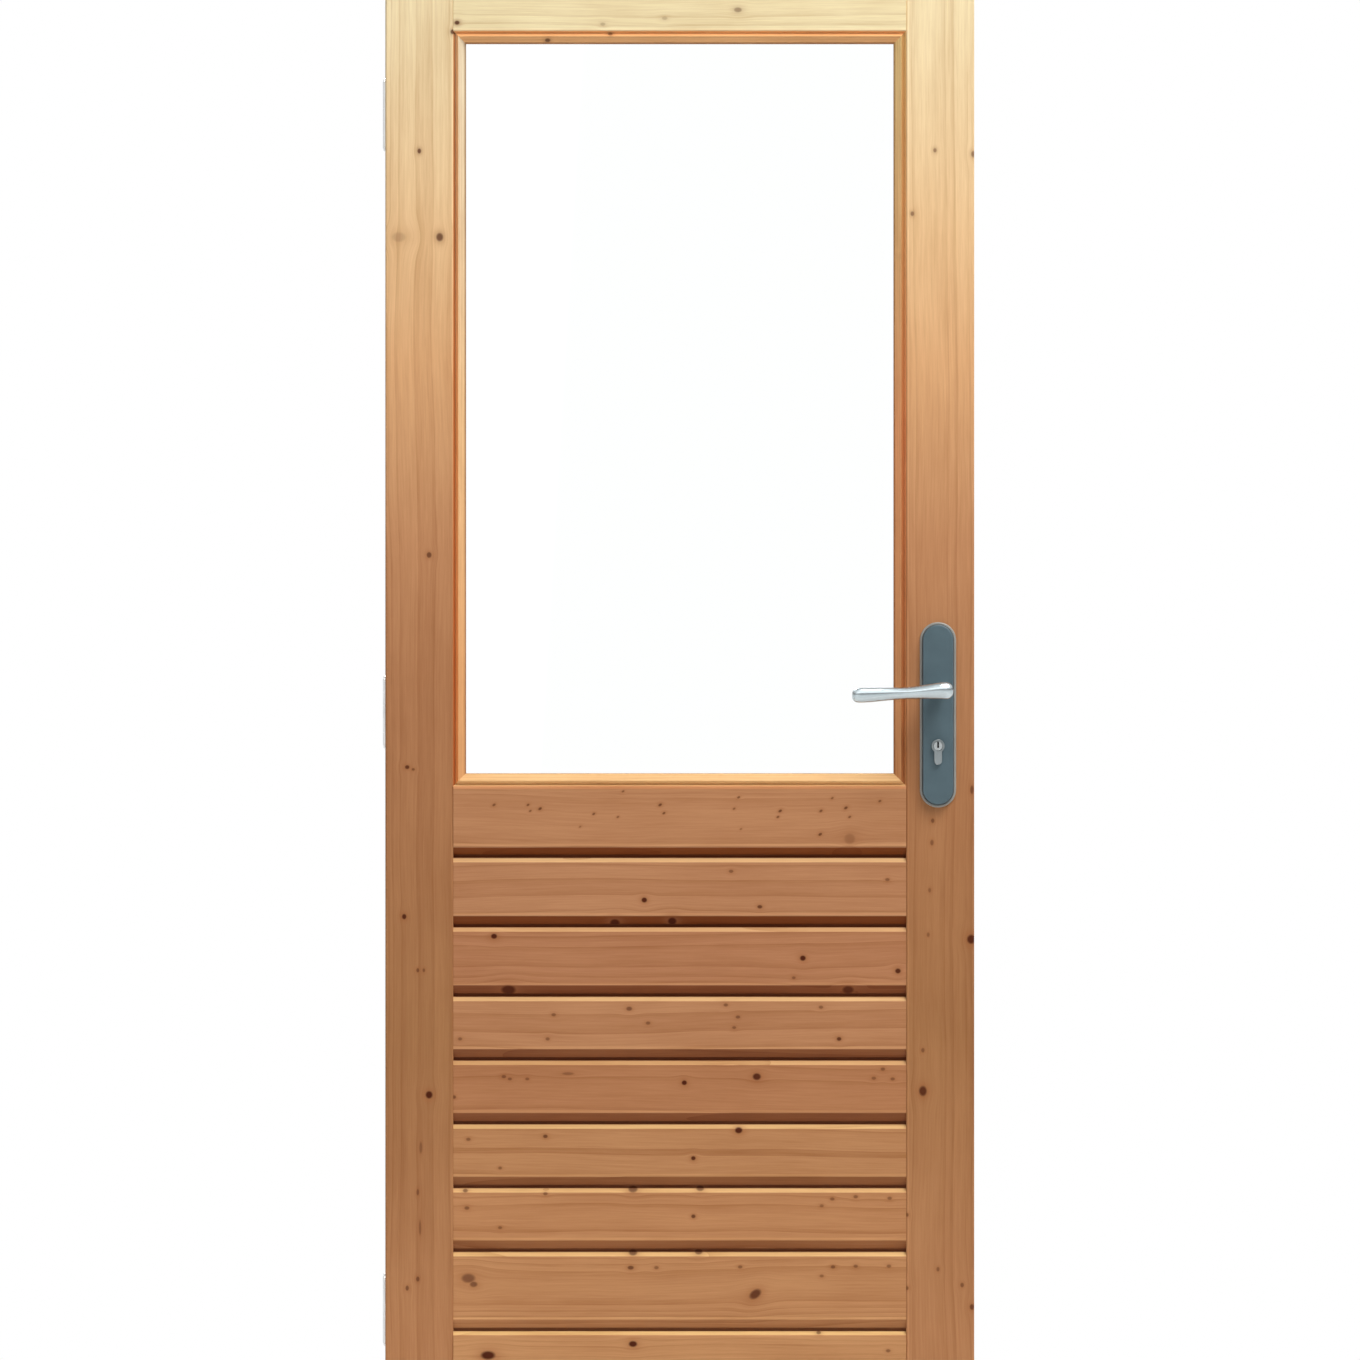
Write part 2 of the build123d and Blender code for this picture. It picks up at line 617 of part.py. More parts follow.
def handle_plate(y_wall, out):
    """Long plate with round ends: base flange, drafted cover with a rounded rim, and its openings."""
    facing = Plane(origin=(X_SPINDLE, y_wall, Z_PLATE), x_dir=(1, 0, 0), z_dir=(0, out, 0))
    raised = facing.offset(PLATE_BASE)
    with BuildPart() as plate:
        with BuildSketch(facing):
            SlotOverall(PLATE_HEIGHT, PLATE_WIDTH, rotation=90)
        extrude(amount=PLATE_BASE)
        chamfer(plate.faces().filter_by(Plane.XZ).sort_by(Axis.Y)[-1 if out > 0 else 0].edges(), PLATE_BASE_EASE)
        with BuildSketch(raised):
            SlotOverall(PLATE_HEIGHT - PLATE_COVER_SET * 2, PLATE_WIDTH - PLATE_COVER_SET * 2, rotation=90)
        extrude(amount=PLATE_COVER, taper=PLATE_DRAFT)
        fillet(plate.faces().filter_by(Plane.XZ).sort_by(Axis.Y)[-1 if out > 0 else 0].edges(), PLATE_COVER_ROUND)
    return plate.part


# Outer handle plate, plain on its face
outer_plate_solid = handle_plate(Y_FRONT, -1)
with BuildPart() as outer_plate:
    add(outer_plate_solid)
    add(rod(NECK_RADIUS + NECK_CLEAR, X_SPINDLE, Z_SPINDLE, Y_OUTER_PLATE * 2, 0), mode=Mode.SUBTRACT)
    add(euro_outline(CYLINDER_CLEAR / 2), mode=Mode.SUBTRACT)
outer_plate.part.label = "outer_plate"
export_step(outer_plate.part, "parts/outer_plate.step")

# Inner handle plate, with two countersunk holes for the screws that draw the plates together
inner_plate_solid = handle_plate(Y_BACK, 1)
with BuildPart() as inner_plate:
    add(inner_plate_solid)
    add(rod(NECK_RADIUS + NECK_CLEAR, X_SPINDLE, Z_SPINDLE, 0, Y_INNER_PLATE * 2), mode=Mode.SUBTRACT)
    add(euro_outline(CYLINDER_CLEAR / 2), mode=Mode.SUBTRACT)
    for drop in (PLATE_SCREW_TOP, -PLATE_SCREW_BOTTOM):
        z_screw = Z_SPINDLE + drop
        add(rod(PLATE_SCREW_RADIUS, X_SPINDLE, z_screw, 0, Y_INNER_PLATE * 2), mode=Mode.SUBTRACT)
        cone = Cone(PLATE_SCREW_RADIUS, PLATE_SCREW_SINK, PLATE_SCREW_SINK_DEPTH, mode=Mode.PRIVATE)
        y_cone = Y_INNER_PLATE - PLATE_SCREW_SINK_DEPTH / 2
        add(Pos(X_SPINDLE, y_cone, z_screw) * (Rotation(-90, 0, 0) * cone), mode=Mode.SUBTRACT)
inner_plate.part.label = "inner_plate"
export_step(inner_plate.part, "parts/inner_plate.step")

# Euro cylinder through the door, bored for a plug from each side
y_key_face = Y_OUTER_PLATE - CYLINDER_PROUD_OUT
y_inner_face = Y_INNER_PLATE + CYLINDER_PROUD_IN
with BuildPart() as lock_cylinder:
    add(euro_outline(0))
    for y_face, inward in ((y_key_face, 1), (y_inner_face, -1)):
        y_end = y_face + inward * (PLUG_LENGTH + PLUG_CLEAR)
        add(rod(PLUG_RADIUS + PLUG_CLEAR, X_SPINDLE, Z_CYLINDER, y_face, y_end), mode=Mode.SUBTRACT)
lock_cylinder.part.label = "lock_cylinder"
export_step(lock_cylinder.part, "parts/lock_cylinder.step")


def plug(y_face, inward, spare):
    """Round plug with a keyway, eased on its face."""
    y_end = y_face + inward * (PLUG_LENGTH + spare)
    z_key = Z_CYLINDER + KEYWAY_LIFT
    slot = block(
        (X_SPINDLE - KEYWAY_WIDTH / 2, X_SPINDLE + KEYWAY_WIDTH / 2),
        (y_face, y_face + inward * KEYWAY_DEPTH),
        (z_key - KEYWAY_HEIGHT / 2, z_key + KEYWAY_HEIGHT / 2),
    )
    with BuildPart() as body:
        add(rod(PLUG_RADIUS, X_SPINDLE, Z_CYLINDER, y_face, y_end))
        chamfer(body.edges().filter_by(GeomType.CIRCLE).sort_by(Axis.Y)[0 if inward > 0 else -1], PLUG_EASE)
        add(slot, mode=Mode.SUBTRACT)
    return body.part


# Plug that the key turns, and the plug on the inner side
key_plug_solid = plug(y_key_face, 1, 0)
inner_plug_solid = plug(y_inner_face, -1, PLUG_CLEAR)
with BuildPart() as key_plug:
    add(key_plug_solid)
key_plug.part.label = "key_plug"
export_step(key_plug.part, "parts/key_plug.step")
with BuildPart() as inner_plug:
    add(inner_plug_solid)
inner_plug.part.label = "inner_plug"
export_step(inner_plug.part, "parts/inner_plug.step")


def lever(y_plate, out):
    """Lever handle: neck in the plate, round stem, and a long arm drawn through a row of ovals."""
    y_arm = y_plate + out * ARM_STAND_OFF
    with BuildPart() as handle:
        for number, (lift, height, thick, sag) in enumerate(ARM_OVALS):
            reach = ARM_START + number * ARM_PITCH
            middle = (X_SPINDLE - reach, y_arm - out * sag, Z_SPINDLE + lift)
            with BuildSketch(Plane(origin=middle, x_dir=(0, 0, 1), z_dir=(-1, 0, 0))):
                SlotOverall(height, thick)
        loft()
        fillet(handle.faces().sort_by(Axis.X)[0].edges(), ARM_TIP_ROUND)
        fillet(handle.faces().sort_by(Axis.X)[-1].edges(), ARM_ELBOW_ROUND)
        add(rod(STEM_RADIUS, X_SPINDLE, Z_SPINDLE, y_plate + out * STEM_STAND_OFF, y_arm))
        add(rod(NECK_RADIUS, X_SPINDLE, Z_SPINDLE, y_plate - out * NECK_REACH, y_arm))
        half = SPINDLE_SIZE / 2
        socket = block(
            (X_SPINDLE - half, X_SPINDLE + half),
            (y_plate - out * NECK_REACH, y_plate + out * (SPINDLE_SOCKET - NECK_REACH)),
            (Z_SPINDLE - half, Z_SPINDLE + half),
        )
        add(socket, mode=Mode.SUBTRACT)
    return handle.part


# Lever handles on both sides, joined by a square spindle
outer_lever_solid = lever(Y_OUTER_PLATE, -1)
inner_lever_solid = lever(Y_INNER_PLATE, 1)
with BuildPart() as outer_lever:
    add(outer_lever_solid)
outer_lever.part.label = "outer_lever"
export_step(outer_lever.part, "parts/outer_lever.step")
with BuildPart() as inner_lever:
    add(inner_lever_solid)
inner_lever.part.label = "inner_lever"
export_step(inner_lever.part, "parts/inner_lever.step")
with BuildPart() as spindle:
    half_bar = SPINDLE_SIZE / 2
    spindle_end = SPINDLE_SOCKET - NECK_REACH
    add(
        block(
            (X_SPINDLE - half_bar, X_SPINDLE + half_bar),
            (Y_OUTER_PLATE - spindle_end, Y_INNER_PLATE + spindle_end),
            (Z_SPINDLE - half_bar, Z_SPINDLE + half_bar),
        )
    )
spindle.part.label = "spindle"
export_step(spindle.part, "parts/spindle.step")
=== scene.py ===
"""Looks of the back door: wood, glass and metal finishes, small fittings, light and camera."""

import logging
import math
from collections.abc import Sequence
from dataclasses import dataclass, field
from enum import Enum

import bpy
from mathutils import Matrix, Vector


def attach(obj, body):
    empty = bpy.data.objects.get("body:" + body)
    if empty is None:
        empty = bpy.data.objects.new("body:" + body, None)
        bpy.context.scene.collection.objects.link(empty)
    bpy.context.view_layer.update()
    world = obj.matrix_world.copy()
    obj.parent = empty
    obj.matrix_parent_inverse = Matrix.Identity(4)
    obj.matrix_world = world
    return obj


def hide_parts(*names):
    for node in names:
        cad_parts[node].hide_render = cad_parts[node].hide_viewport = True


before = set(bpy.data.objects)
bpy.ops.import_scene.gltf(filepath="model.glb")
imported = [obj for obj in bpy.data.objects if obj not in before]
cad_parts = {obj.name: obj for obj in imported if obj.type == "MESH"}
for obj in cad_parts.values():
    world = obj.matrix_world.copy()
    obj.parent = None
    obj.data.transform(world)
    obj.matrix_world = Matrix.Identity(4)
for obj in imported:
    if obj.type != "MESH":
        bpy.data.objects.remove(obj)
log = logging.getLogger("back_door")

Tone = tuple[float, float, float]
Rgb = tuple[int, int, int]
Stops = tuple[tuple[float, Rgb], ...]
Turn = tuple[float, float, float]
Socket = bpy.types.NodeSocket
Feed = Socket | float | tuple[float, ...]

# Sizes in millimetres, as in the part
MM = 0.001
PER_METRE = 1000.0
LEAF_EDGE = 1.5
LEAF_FOOT = -230.0
LEAF_WIDTH = 780.0
LEAF_HEIGHT = 2015.0
FACE = -20.0
BACK = 20.0

# Board joints from the middle rail down, above the foot, and how much painted shade each joint's slope and
# ledge take, less towards the foot
JOINT_HEIGHTS = (832.1, 740.1, 648.1, 563.6, 479.1, 394.6, 310.1, 205.1)
BEVEL_PAINTED_SHADE = (1.0, 1.0, 0.85, 0.75, 0.7, 0.6, 0.5, 0.15)
LEDGE_PAINTED_SHADE = (1.0, 1.0, 1.0, 0.95, 0.9, 0.9, 0.9, 0.8)
JOINT_BACK = (FACE + 12.5, FACE + 14.0)
# Painted highlight along the arris just above each joint's bevel: its reach above the joint, then its tint.
LIP_HIGHLIGHT_REACH = (13.2, 16.4)
LIP_HIGHLIGHT_TINT = (1.18, 1.27, 1.26)


class Grain(Enum):
    """Way the fibres run in a wooden piece."""

    UPRIGHT = "upright"
    LEVEL = "level"


class Body(Enum):
    """Bodies that new pieces ride on."""

    FRAME = "frame_side"
    LEAF = "door_leaf"
    LEVERS = "lever_set"


class Side(Enum):
    """Way a fitting faces, as the sign of its outward direction along Y."""

    OUTSIDE = -1
    INSIDE = 1


def tone(red: int, green: int, blue: int) -> Tone:
    """Turns a screen colour into the linear colour that a shader takes.

    Args:
        red: red, 0 to 255.
        green: green, 0 to 255.
        blue: blue, 0 to 255.

    Returns:
        The three linear values.
    """

    def linear(value: int) -> float:
        """One channel, linear."""
        share = value / 255
        return share / 12.92 if share <= 0.04045 else ((share + 0.055) / 1.055) ** 2.4

    return linear(red), linear(green), linear(blue)


def spot(x: float, y: float, z: float) -> Vector:
    """A place on the closed door in metres, from X, height above the foot and depth in millimetres.

    Args:
        x: millimetres from the hinge edge.
        y: millimetres behind the middle of the leaf's thickness.
        z: millimetres above the foot of the leaf.

    Returns:
        The place in the shared frame.
    """
    return Vector(((LEAF_EDGE + x) * MM, y * MM, (LEAF_FOOT + z) * MM))


class NodeSheet:
    """Lays out the nodes of one material or group."""

    def __init__(self, tree: bpy.types.NodeTree) -> None:
        """Starts with an empty tree.

        Args:
            tree: the node tree to fill.
        """
        self.tree = tree
        tree.nodes.clear()

    def add(self, kind: str, **settings: object) -> bpy.types.Node:
        """Adds one node.

        Args:
            kind: Blender's name of the node type.
            settings: attributes to set on it.

        Returns:
            The new node.
        """
        node = self.tree.nodes.new(kind)
        for name, value in settings.items():
            setattr(node, name, value)
        return node

    def feed(self, socket: Socket, value: Feed) -> None:
        """Links a socket into another, or sets a plain value on it.

        Args:
            socket: the input to feed.
            value: an output socket or a plain value.
        """
        if isinstance(value, bpy.types.NodeSocket):
            self.tree.links.new(value, socket)
        else:
            socket.default_value = value

    def math(self, operation: str, *values: Feed) -> Socket:
        """One arithmetic step.

        Args:
            operation: Blender's name of the operation.
            values: its inputs.

        Returns:
            The result.
        """
        node = self.add("ShaderNodeMath", operation=operation)
        for socket, value in zip(node.inputs, values):
            self.feed(socket, value)
        return node.outputs[0]

    def vector(self, x: Feed, y: Feed, z: Feed) -> Socket:
        """Joins three values into a vector.

        Args:
            x: first value.
            y: second value.
            z: third value.

        Returns:
            The vector.
        """
        node = self.add("ShaderNodeCombineXYZ")
        for socket, value in zip(node.inputs, (x, y, z)):
            self.feed(socket, value)
        return node.outputs[0]

    def stretched(self, places: Sequence[Feed], factors: Sequence[float]) -> Socket:
        """Joins three values into a vector, each times a factor of its own.

        Args:
            places: the three values.
            factors: their factors.

        Returns:
            The vector.
        """
        return self.vector(*(self.math("MULTIPLY", place, share) for place, share in zip(places, factors)))

    def noise(self, vector: Feed, scale: float, detail: float, rough: float = 0.55) -> Socket:
        """Smooth noise from 0 to 1.

        Args:
            vector: where it is read.
            scale: how fine it is.
            detail: octaves.
            rough: weight of the finer octaves.

        Returns:
            The noise value.
        """
        node = self.add("ShaderNodeTexNoise", noise_dimensions="3D")
        self.feed(node.inputs["Vector"], vector)
        node.inputs["Scale"].default_value = scale
        node.inputs["Detail"].default_value = detail
        node.inputs["Roughness"].default_value = rough
        return node.outputs["Fac"]

    def span(
        self, value: Feed, low: float, high: float, start: float, end: float, smooth: bool = False
    ) -> Socket:
        """Carries one range over to another, clamped.

        Args:
            value: what is carried over.
            low: lower end of the first range.
            high: upper end of the first range.
            start: result at the lower end.
            end: result at the upper end.
            smooth: whether the run eases in and out.

        Returns:
            The result.
        """
        node = self.add("ShaderNodeMapRange", interpolation_type="SMOOTHSTEP" if smooth else "LINEAR")
        node.clamp = True
        for socket, item in zip(node.inputs, (value, low, high, start, end)):
            self.feed(socket, item)
        return node.outputs[0]

    def blend(self, share: Feed, first: Feed, second: Feed, way: str = "MIX") -> Socket:
        """Mixes two colours.

        Args:
            share: how much of the second.
            first: first colour.
            second: second colour.
            way: Blender's name of the blend.

        Returns:
            The mixed colour.
        """
        node = self.add("ShaderNodeMix", data_type="RGBA", blend_type=way)
        sockets = (node.inputs[0], node.inputs[6], node.inputs[7])
        for socket, value in zip(sockets, (share, first, second)):
            colour = value if isinstance(value, (bpy.types.NodeSocket, float, int)) else (*value, 1.0)
            self.feed(socket, colour)
        return node.outputs[2]

    def ramp(self, value: Feed, stops: tuple[tuple[float, Tone], ...]) -> Socket:
        """Colour by a value from 0 to 1.

        Args:
            value: where along the ramp.
            stops: place and colour of each stop, in rising order.

        Returns:
            The colour.
        """
        node = self.add("ShaderNodeValToRGB")
        elements = node.color_ramp.elements
        for place, _ in stops[2:]:
            elements.new(place)
        for element, (place, colour) in zip(elements, stops):
            element.position = place
            element.color = (*colour, 1.0)
        self.feed(node.inputs[0], value)
        return node.outputs[0]

    def place(self) -> tuple[Socket, Socket, Socket]:
        """The shaded point as three values in metres."""
        parts = self.add("ShaderNodeSeparateXYZ")
        self.feed(parts.inputs[0], self.add("ShaderNodeTexCoord").outputs["Object"])
        return parts.outputs[0], parts.outputs[1], parts.outputs[2]

    def bump(self, height: Feed, strength: float, distance: float) -> Socket:
        """Fine relief.

        Args:
            height: relief from 0 to 1.
            strength: how strongly it shows.
            distance: its depth in metres.

        Returns:
            The bent normal.
        """
        node = self.add("ShaderNodeBump")
        node.inputs["Strength"].default_value = strength
        node.inputs["Distance"].default_value = distance
        self.feed(node.inputs["Height"], height)
        return node.outputs[0]

    def surface(self, **sockets: Feed) -> bpy.types.Node:
        """Adds the shader and the output of a material.

        Args:
            sockets: shader inputs by name, with spaces as underscores.

        Returns:
            The shader node.
        """
        shader = self.add("ShaderNodeBsdfPrincipled")
        for name, value in sockets.items():
            wide = isinstance(value, tuple) and len(value) == 3 and name.endswith(("Color", "Tint"))
            self.feed(shader.inputs[name.replace("_", " ")], (*value, 1.0) if wide else value)
        output = self.add("ShaderNodeOutputMaterial")
        self.tree.links.new(shader.outputs[0], output.inputs["Surface"])
        return shader


def fresh_material(name: str) -> tuple[bpy.types.Material, NodeSheet]:
    """Starts a node material.

    Args:
        name: its name.

    Returns:
        The material and the sheet of its nodes.
    """
    material = bpy.data.materials.new(name)
    material.use_nodes = True
    return material, NodeSheet(material.node_tree)


@dataclass(frozen=True)
class Knot:
    """One knot or fleck, in millimetres from the hinge edge and above the foot of the leaf."""

    across: float
    height: float
    radius: float
    stretch: float = 1.3
    dark: float = 0.85
    slope: float = 0.0


def fleck(across: float, height: float, dark: float = 0.5) -> Knot:
    """A small fleck of the usual size.

    Args:
        across: millimetres from the hinge edge.
        height: millimetres above the foot of the leaf.
        dark: how dark it is, 0 to 1.

    Returns:
        The fleck.
    """
    return Knot(across, height, 2.2, 1.4, dark)


class KnotStencil:
    """Shared node group that shapes one knot and bends the grain round it."""

    core_edge: tuple[float, float] = (0.35, 1.5)
    halo_fade: float = 0.72
    bend_fade: float = 0.9
    bend: float = -0.62

    def __init__(self) -> None:
        """Builds the group."""
        self.tree = bpy.data.node_groups.new("spruce_knot", "ShaderNodeTree")
        sheet = NodeSheet(self.tree)
        sides = self.tree.interface
        for name in ("Along", "Across", "Knot Along", "Knot Across", "Radius", "Stretch", "Slope"):
            sides.new_socket(name, in_out="INPUT", socket_type="NodeSocketFloat")
        for name in ("Core", "Halo", "Shift"):
            sides.new_socket(name, in_out="OUTPUT", socket_type="NodeSocketFloat")
        given = sheet.add("NodeGroupInput").outputs
        along = sheet.math("SUBTRACT", given["Along"], given["Knot Along"])
        level = sheet.math("SUBTRACT", given["Across"], given["Knot Across"])
        across = sheet.math("SUBTRACT", level, sheet.math("MULTIPLY", along, given["Slope"]))
        far_along = sheet.math("DIVIDE", along, sheet.math("MULTIPLY", given["Radius"], given["Stretch"]))
        far_across = sheet.math("DIVIDE", across, given["Radius"])
        square = sheet.math("MULTIPLY", far_along, far_along)
        reach = sheet.math("MULTIPLY_ADD", far_across, far_across, square)
        wide = sheet.math("POWER", self.bend_fade, reach)
        done = sheet.add("NodeGroupOutput").inputs
        sheet.feed(done["Core"], sheet.span(reach, *self.core_edge, 1.0, 0.0, smooth=True))
        sheet.feed(done["Halo"], sheet.math("POWER", self.halo_fade, reach))
        sheet.feed(done["Shift"], sheet.math("MULTIPLY", sheet.math("MULTIPLY", across, wide), self.bend))

    def read(
        self, sheet: NodeSheet, along: Socket, across: Socket, knot: Knot, grain: Grain
    ) -> bpy.types.Node:
        """Places one knot in a material.

        Args:
            sheet: nodes of the material.
            along: millimetres along the grain.
            across: millimetres across the grain.
            knot: the knot.
            grain: way of the grain.

        Returns:
            The group node with its three outputs.
        """
        node = sheet.add("ShaderNodeGroup", node_tree=self.tree)
        upright = grain is Grain.UPRIGHT
        centre = (knot.height, knot.across) if upright else (knot.across, knot.height)
        values = (along, across, *centre, knot.radius, knot.stretch, knot.slope)
        for socket, value in zip(node.inputs, values):
            sheet.feed(socket, value)
        return node


def front_only(sheet: NodeSheet, deep: Socket) -> Socket:
    """Fades from 1 at the front to 0 behind the board joints.

    Args:
        sheet: nodes of the material.
        deep: millimetres behind the middle of the leaf.

    Returns:
        The share.
    """
    return sheet.span(deep, *JOINT_BACK, 1.0, 0.0)


@dataclass(frozen=True)
class Band:
    """A strip along the grain, tinted paler or darker; here it paints highlights on arrises, light on slopes
    in shade and shade in grooves, and darkens the beads' noses.
    """

    start: float
    end: float
    tint: Tone
    soft: float = 0.6

    def lay(self, sheet: NodeSheet, colour: Socket, across: Socket, deep: Socket) -> Socket:
        """Tints the strip on the front.

        Args:
            sheet: nodes of the material.
            colour: colour so far.
            across: millimetres across the grain.
            deep: millimetres behind the middle of the leaf.

        Returns:
            The colour with the strip.
        """
        near = sheet.span(across, self.start - self.soft, self.start + self.soft, 0.0, 1.0)
        far = sheet.span(across, self.end - self.soft, self.end + self.soft, 1.0, 0.0)
        tinted = sheet.blend(1.0, colour, self.tint, "MULTIPLY")
        share = sheet.math("MULTIPLY", sheet.math("MULTIPLY", near, far), front_only(sheet, deep))
        return sheet.blend(share, colour, tinted)


@dataclass(frozen=True)
class PaintedJointShadeAndLight:
    """Painted shade in the board joints, and painted light on the upward slope between the shaded ledge and
    the face.

    The slope under a board takes painted shade by the share low, the ledge over it by the share high.
    """

    middle: float
    low: float
    high: float
    soft: float = 2.0
    # The slope under a board faces down and the ledge lies deep in the joint: both take painted shade. The
    # slope on top of a board faces up and takes painted light.
    under_slope: tuple[float, float] = (FACE + 1.0, FACE + 1.7)
    over_ledge: tuple[float, float] = (FACE + 6.3, FACE + 7.2)
    lit_slope_front: tuple[float, float] = (FACE + 1.3, FACE + 1.7)
    lit_slope_rear: tuple[float, float] = (FACE + 5.9, FACE + 6.5)
    painted_shade_tint: Tone = (0.43, 0.22, 0.055)
    painted_light_tint: Tone = (1.45, 1.85, 1.80)

    def lay(self, sheet: NodeSheet, colour: Socket, up_leaf: Socket, deep: Socket) -> Socket:
        """Paints shade on the slope under a board and the ledge over it, and paints light on the upward
        slope.

        Args:
            sheet: nodes of the material.
            colour: colour so far.
            up_leaf: millimetres above the foot of the leaf.
            deep: millimetres behind the middle of the leaf.

        Returns:
            The colour with the stain.
        """
        change = (self.middle - self.soft, self.middle + self.soft)
        lower = sheet.span(up_leaf, *change, 1.0, 0.0)
        upper = sheet.span(up_leaf, *change, 0.0, 1.0)
        below = sheet.math("MULTIPLY", sheet.span(deep, *self.under_slope, 0.0, self.low), lower)
        above = sheet.math("MULTIPLY", sheet.span(deep, *self.over_ledge, 0.0, self.high), upper)
        dark = sheet.blend(1.0, colour, self.painted_shade_tint, "MULTIPLY")
        shade_share = sheet.math("MULTIPLY", sheet.math("MAXIMUM", below, above), front_only(sheet, deep))
        colour = sheet.blend(shade_share, colour, dark)
        if self.high == 0.0:
            return colour
        front = sheet.span(deep, *self.lit_slope_front, 0.0, 1.0)
        rear = sheet.span(deep, *self.lit_slope_rear, 1.0, 0.0)
        lit_share = sheet.math("MULTIPLY", sheet.math("MULTIPLY", front, rear), upper)
        return sheet.blend(lit_share, colour, sheet.blend(1.0, colour, self.painted_light_tint, "MULTIPLY"))


@dataclass(frozen=True)
class Fibres:
    """Places and patterns that the grain of one piece is made of."""

    across: Socket
    up_leaf: Socket
    deep: Socket
    late: Socket
    streak: Socket
    fibre: Socket
    mottle: Socket
    core: Feed
    halo: Feed


@dataclass(frozen=True)
class SpruceFinish:
    """Dipped spruce: growth rings, fibre streaks, tone by height that on the stiles, top rail and beads is
    painted light, paler towards the top, and knots where they sit.

    The heart is the place of the growth rings' centre, across the grain and behind the leaf's middle.
    """

    name: str
    grain: Grain
    seed: float
    tones_and_painted_light: Stops
    knots: tuple[Knot, ...] = ()
    heart: tuple[float, float] = (0.0, 45.0)
    ring: float = 4.6
    ring_share: float = 0.30
    joint: PaintedJointShadeAndLight | None = None
    bands: tuple[Band, ...] = ()
    sway_fine: tuple[float, float] = (0.0022, 0.008)
    sway_reach: float = 26.0
    ring_fine: float = 0.11
    ring_seed: float = 3.1
    ring_drift: float = 2.4
    late_power: float = 3.0
    streak_fine: tuple[float, float, float] = (0.012, 0.42, 0.3)
    streak_share: float = 0.75
    fibre_fine: tuple[float, float, float] = (0.05, 2.1, 2.1)
    fibre_share: float = 0.28
    mottle_fine: tuple[float, float] = (0.006, 0.025)
    mottle_seed: float = 7.0
    mottle_share: float = 0.55
    dark_tint: Tone = (0.66, 0.52, 0.40)
    pale_tint: Tone = (1.07, 1.09, 1.12)
    share_range: tuple[float, float] = (-0.22, 0.78)
    knot_skin: tuple[float, float] = (BACK - 9.0, BACK - 4.0)
    halo_more: float = 0.15
    halo_share: float = 0.6
    halo_tone: Rgb = (150, 88, 46)
    core_tone: Rgb = (70, 24, 9)
    gloss_greys: tuple[float, float] = (0.01, 0.10)
    gloss: tuple[float, float] = (0.03, 0.22)
    rough: tuple[float, float] = (0.40, 0.52)
    relief_parts: tuple[float, float] = (0.5, 0.4)
    relief: tuple[float, float] = (0.25, 0.0004)

    def material(self, stencil: KnotStencil) -> bpy.types.Material:
        """Builds the material.

        Args:
            stencil: the shared knot group.

        Returns:
            The finished material.
        """
        material, sheet = fresh_material(self.name)
        wood = self.lay_fibres(sheet, stencil)
        share = self.darkness(sheet, wood)
        colour = self.paint(sheet, wood, share)
        grey = sheet.add("ShaderNodeRGBToBW")
        sheet.feed(grey.inputs[0], colour)
        fibre_part, ring_part = self.relief_parts
        hollow = sheet.math("SUBTRACT", wood.streak, sheet.math("MULTIPLY", wood.late, ring_part))
        relief = sheet.math("MULTIPLY_ADD", wood.fibre, fibre_part, hollow)
        sheet.surface(
            Base_Color=colour,
            Roughness=sheet.span(share, 0.0, 1.0, *self.rough),
            Specular_IOR_Level=sheet.span(grey.outputs[0], *self.gloss_greys, *self.gloss),
            Normal=sheet.bump(relief, *self.relief),
        )
        return material

    def lay_fibres(self, sheet: NodeSheet, stencil: KnotStencil) -> Fibres:
        """Bends the grain by slow sway and by the knots, and lays rings, streaks and fibres along it.

        Args:
            sheet: nodes of the material.
            stencil: the shared knot group.

        Returns:
            The patterns.
        """
        x, y, z = sheet.place()
        across_leaf = sheet.math("MULTIPLY_ADD", x, PER_METRE, -LEAF_EDGE)
        up_leaf = sheet.math("MULTIPLY_ADD", z, PER_METRE, -LEAF_FOOT)
        deep = sheet.math("MULTIPLY", y, PER_METRE)
        upright = self.grain is Grain.UPRIGHT
        along, across = (up_leaf, across_leaf) if upright else (across_leaf, up_leaf)

        slow = self.grain_noise(sheet, (along, across), self.sway_fine, self.seed, 1.5)
        sway = sheet.math("MULTIPLY_ADD", slow, self.sway_reach, -self.sway_reach / 2)
        bent = sheet.math("ADD", across, sway)
        core: Feed = 0.0
        halo: Feed = 0.0
        for knot in self.knots:
            node = stencil.read(sheet, along, across, knot, self.grain)
            ring = min(1.0, knot.dark + self.halo_more)
            core = sheet.math("MAXIMUM", core, sheet.math("MULTIPLY", node.outputs["Core"], knot.dark))
            halo = sheet.math("MAXIMUM", halo, sheet.math("MULTIPLY", node.outputs["Halo"], ring))
            bent = sheet.math("ADD", bent, node.outputs["Shift"])
        if upright:
            skin = sheet.span(sheet.math("ABSOLUTE", deep), *self.knot_skin, 0.0, 1.0)
            core = sheet.math("MULTIPLY", core, skin)
            halo = sheet.math("MULTIPLY", halo, skin)

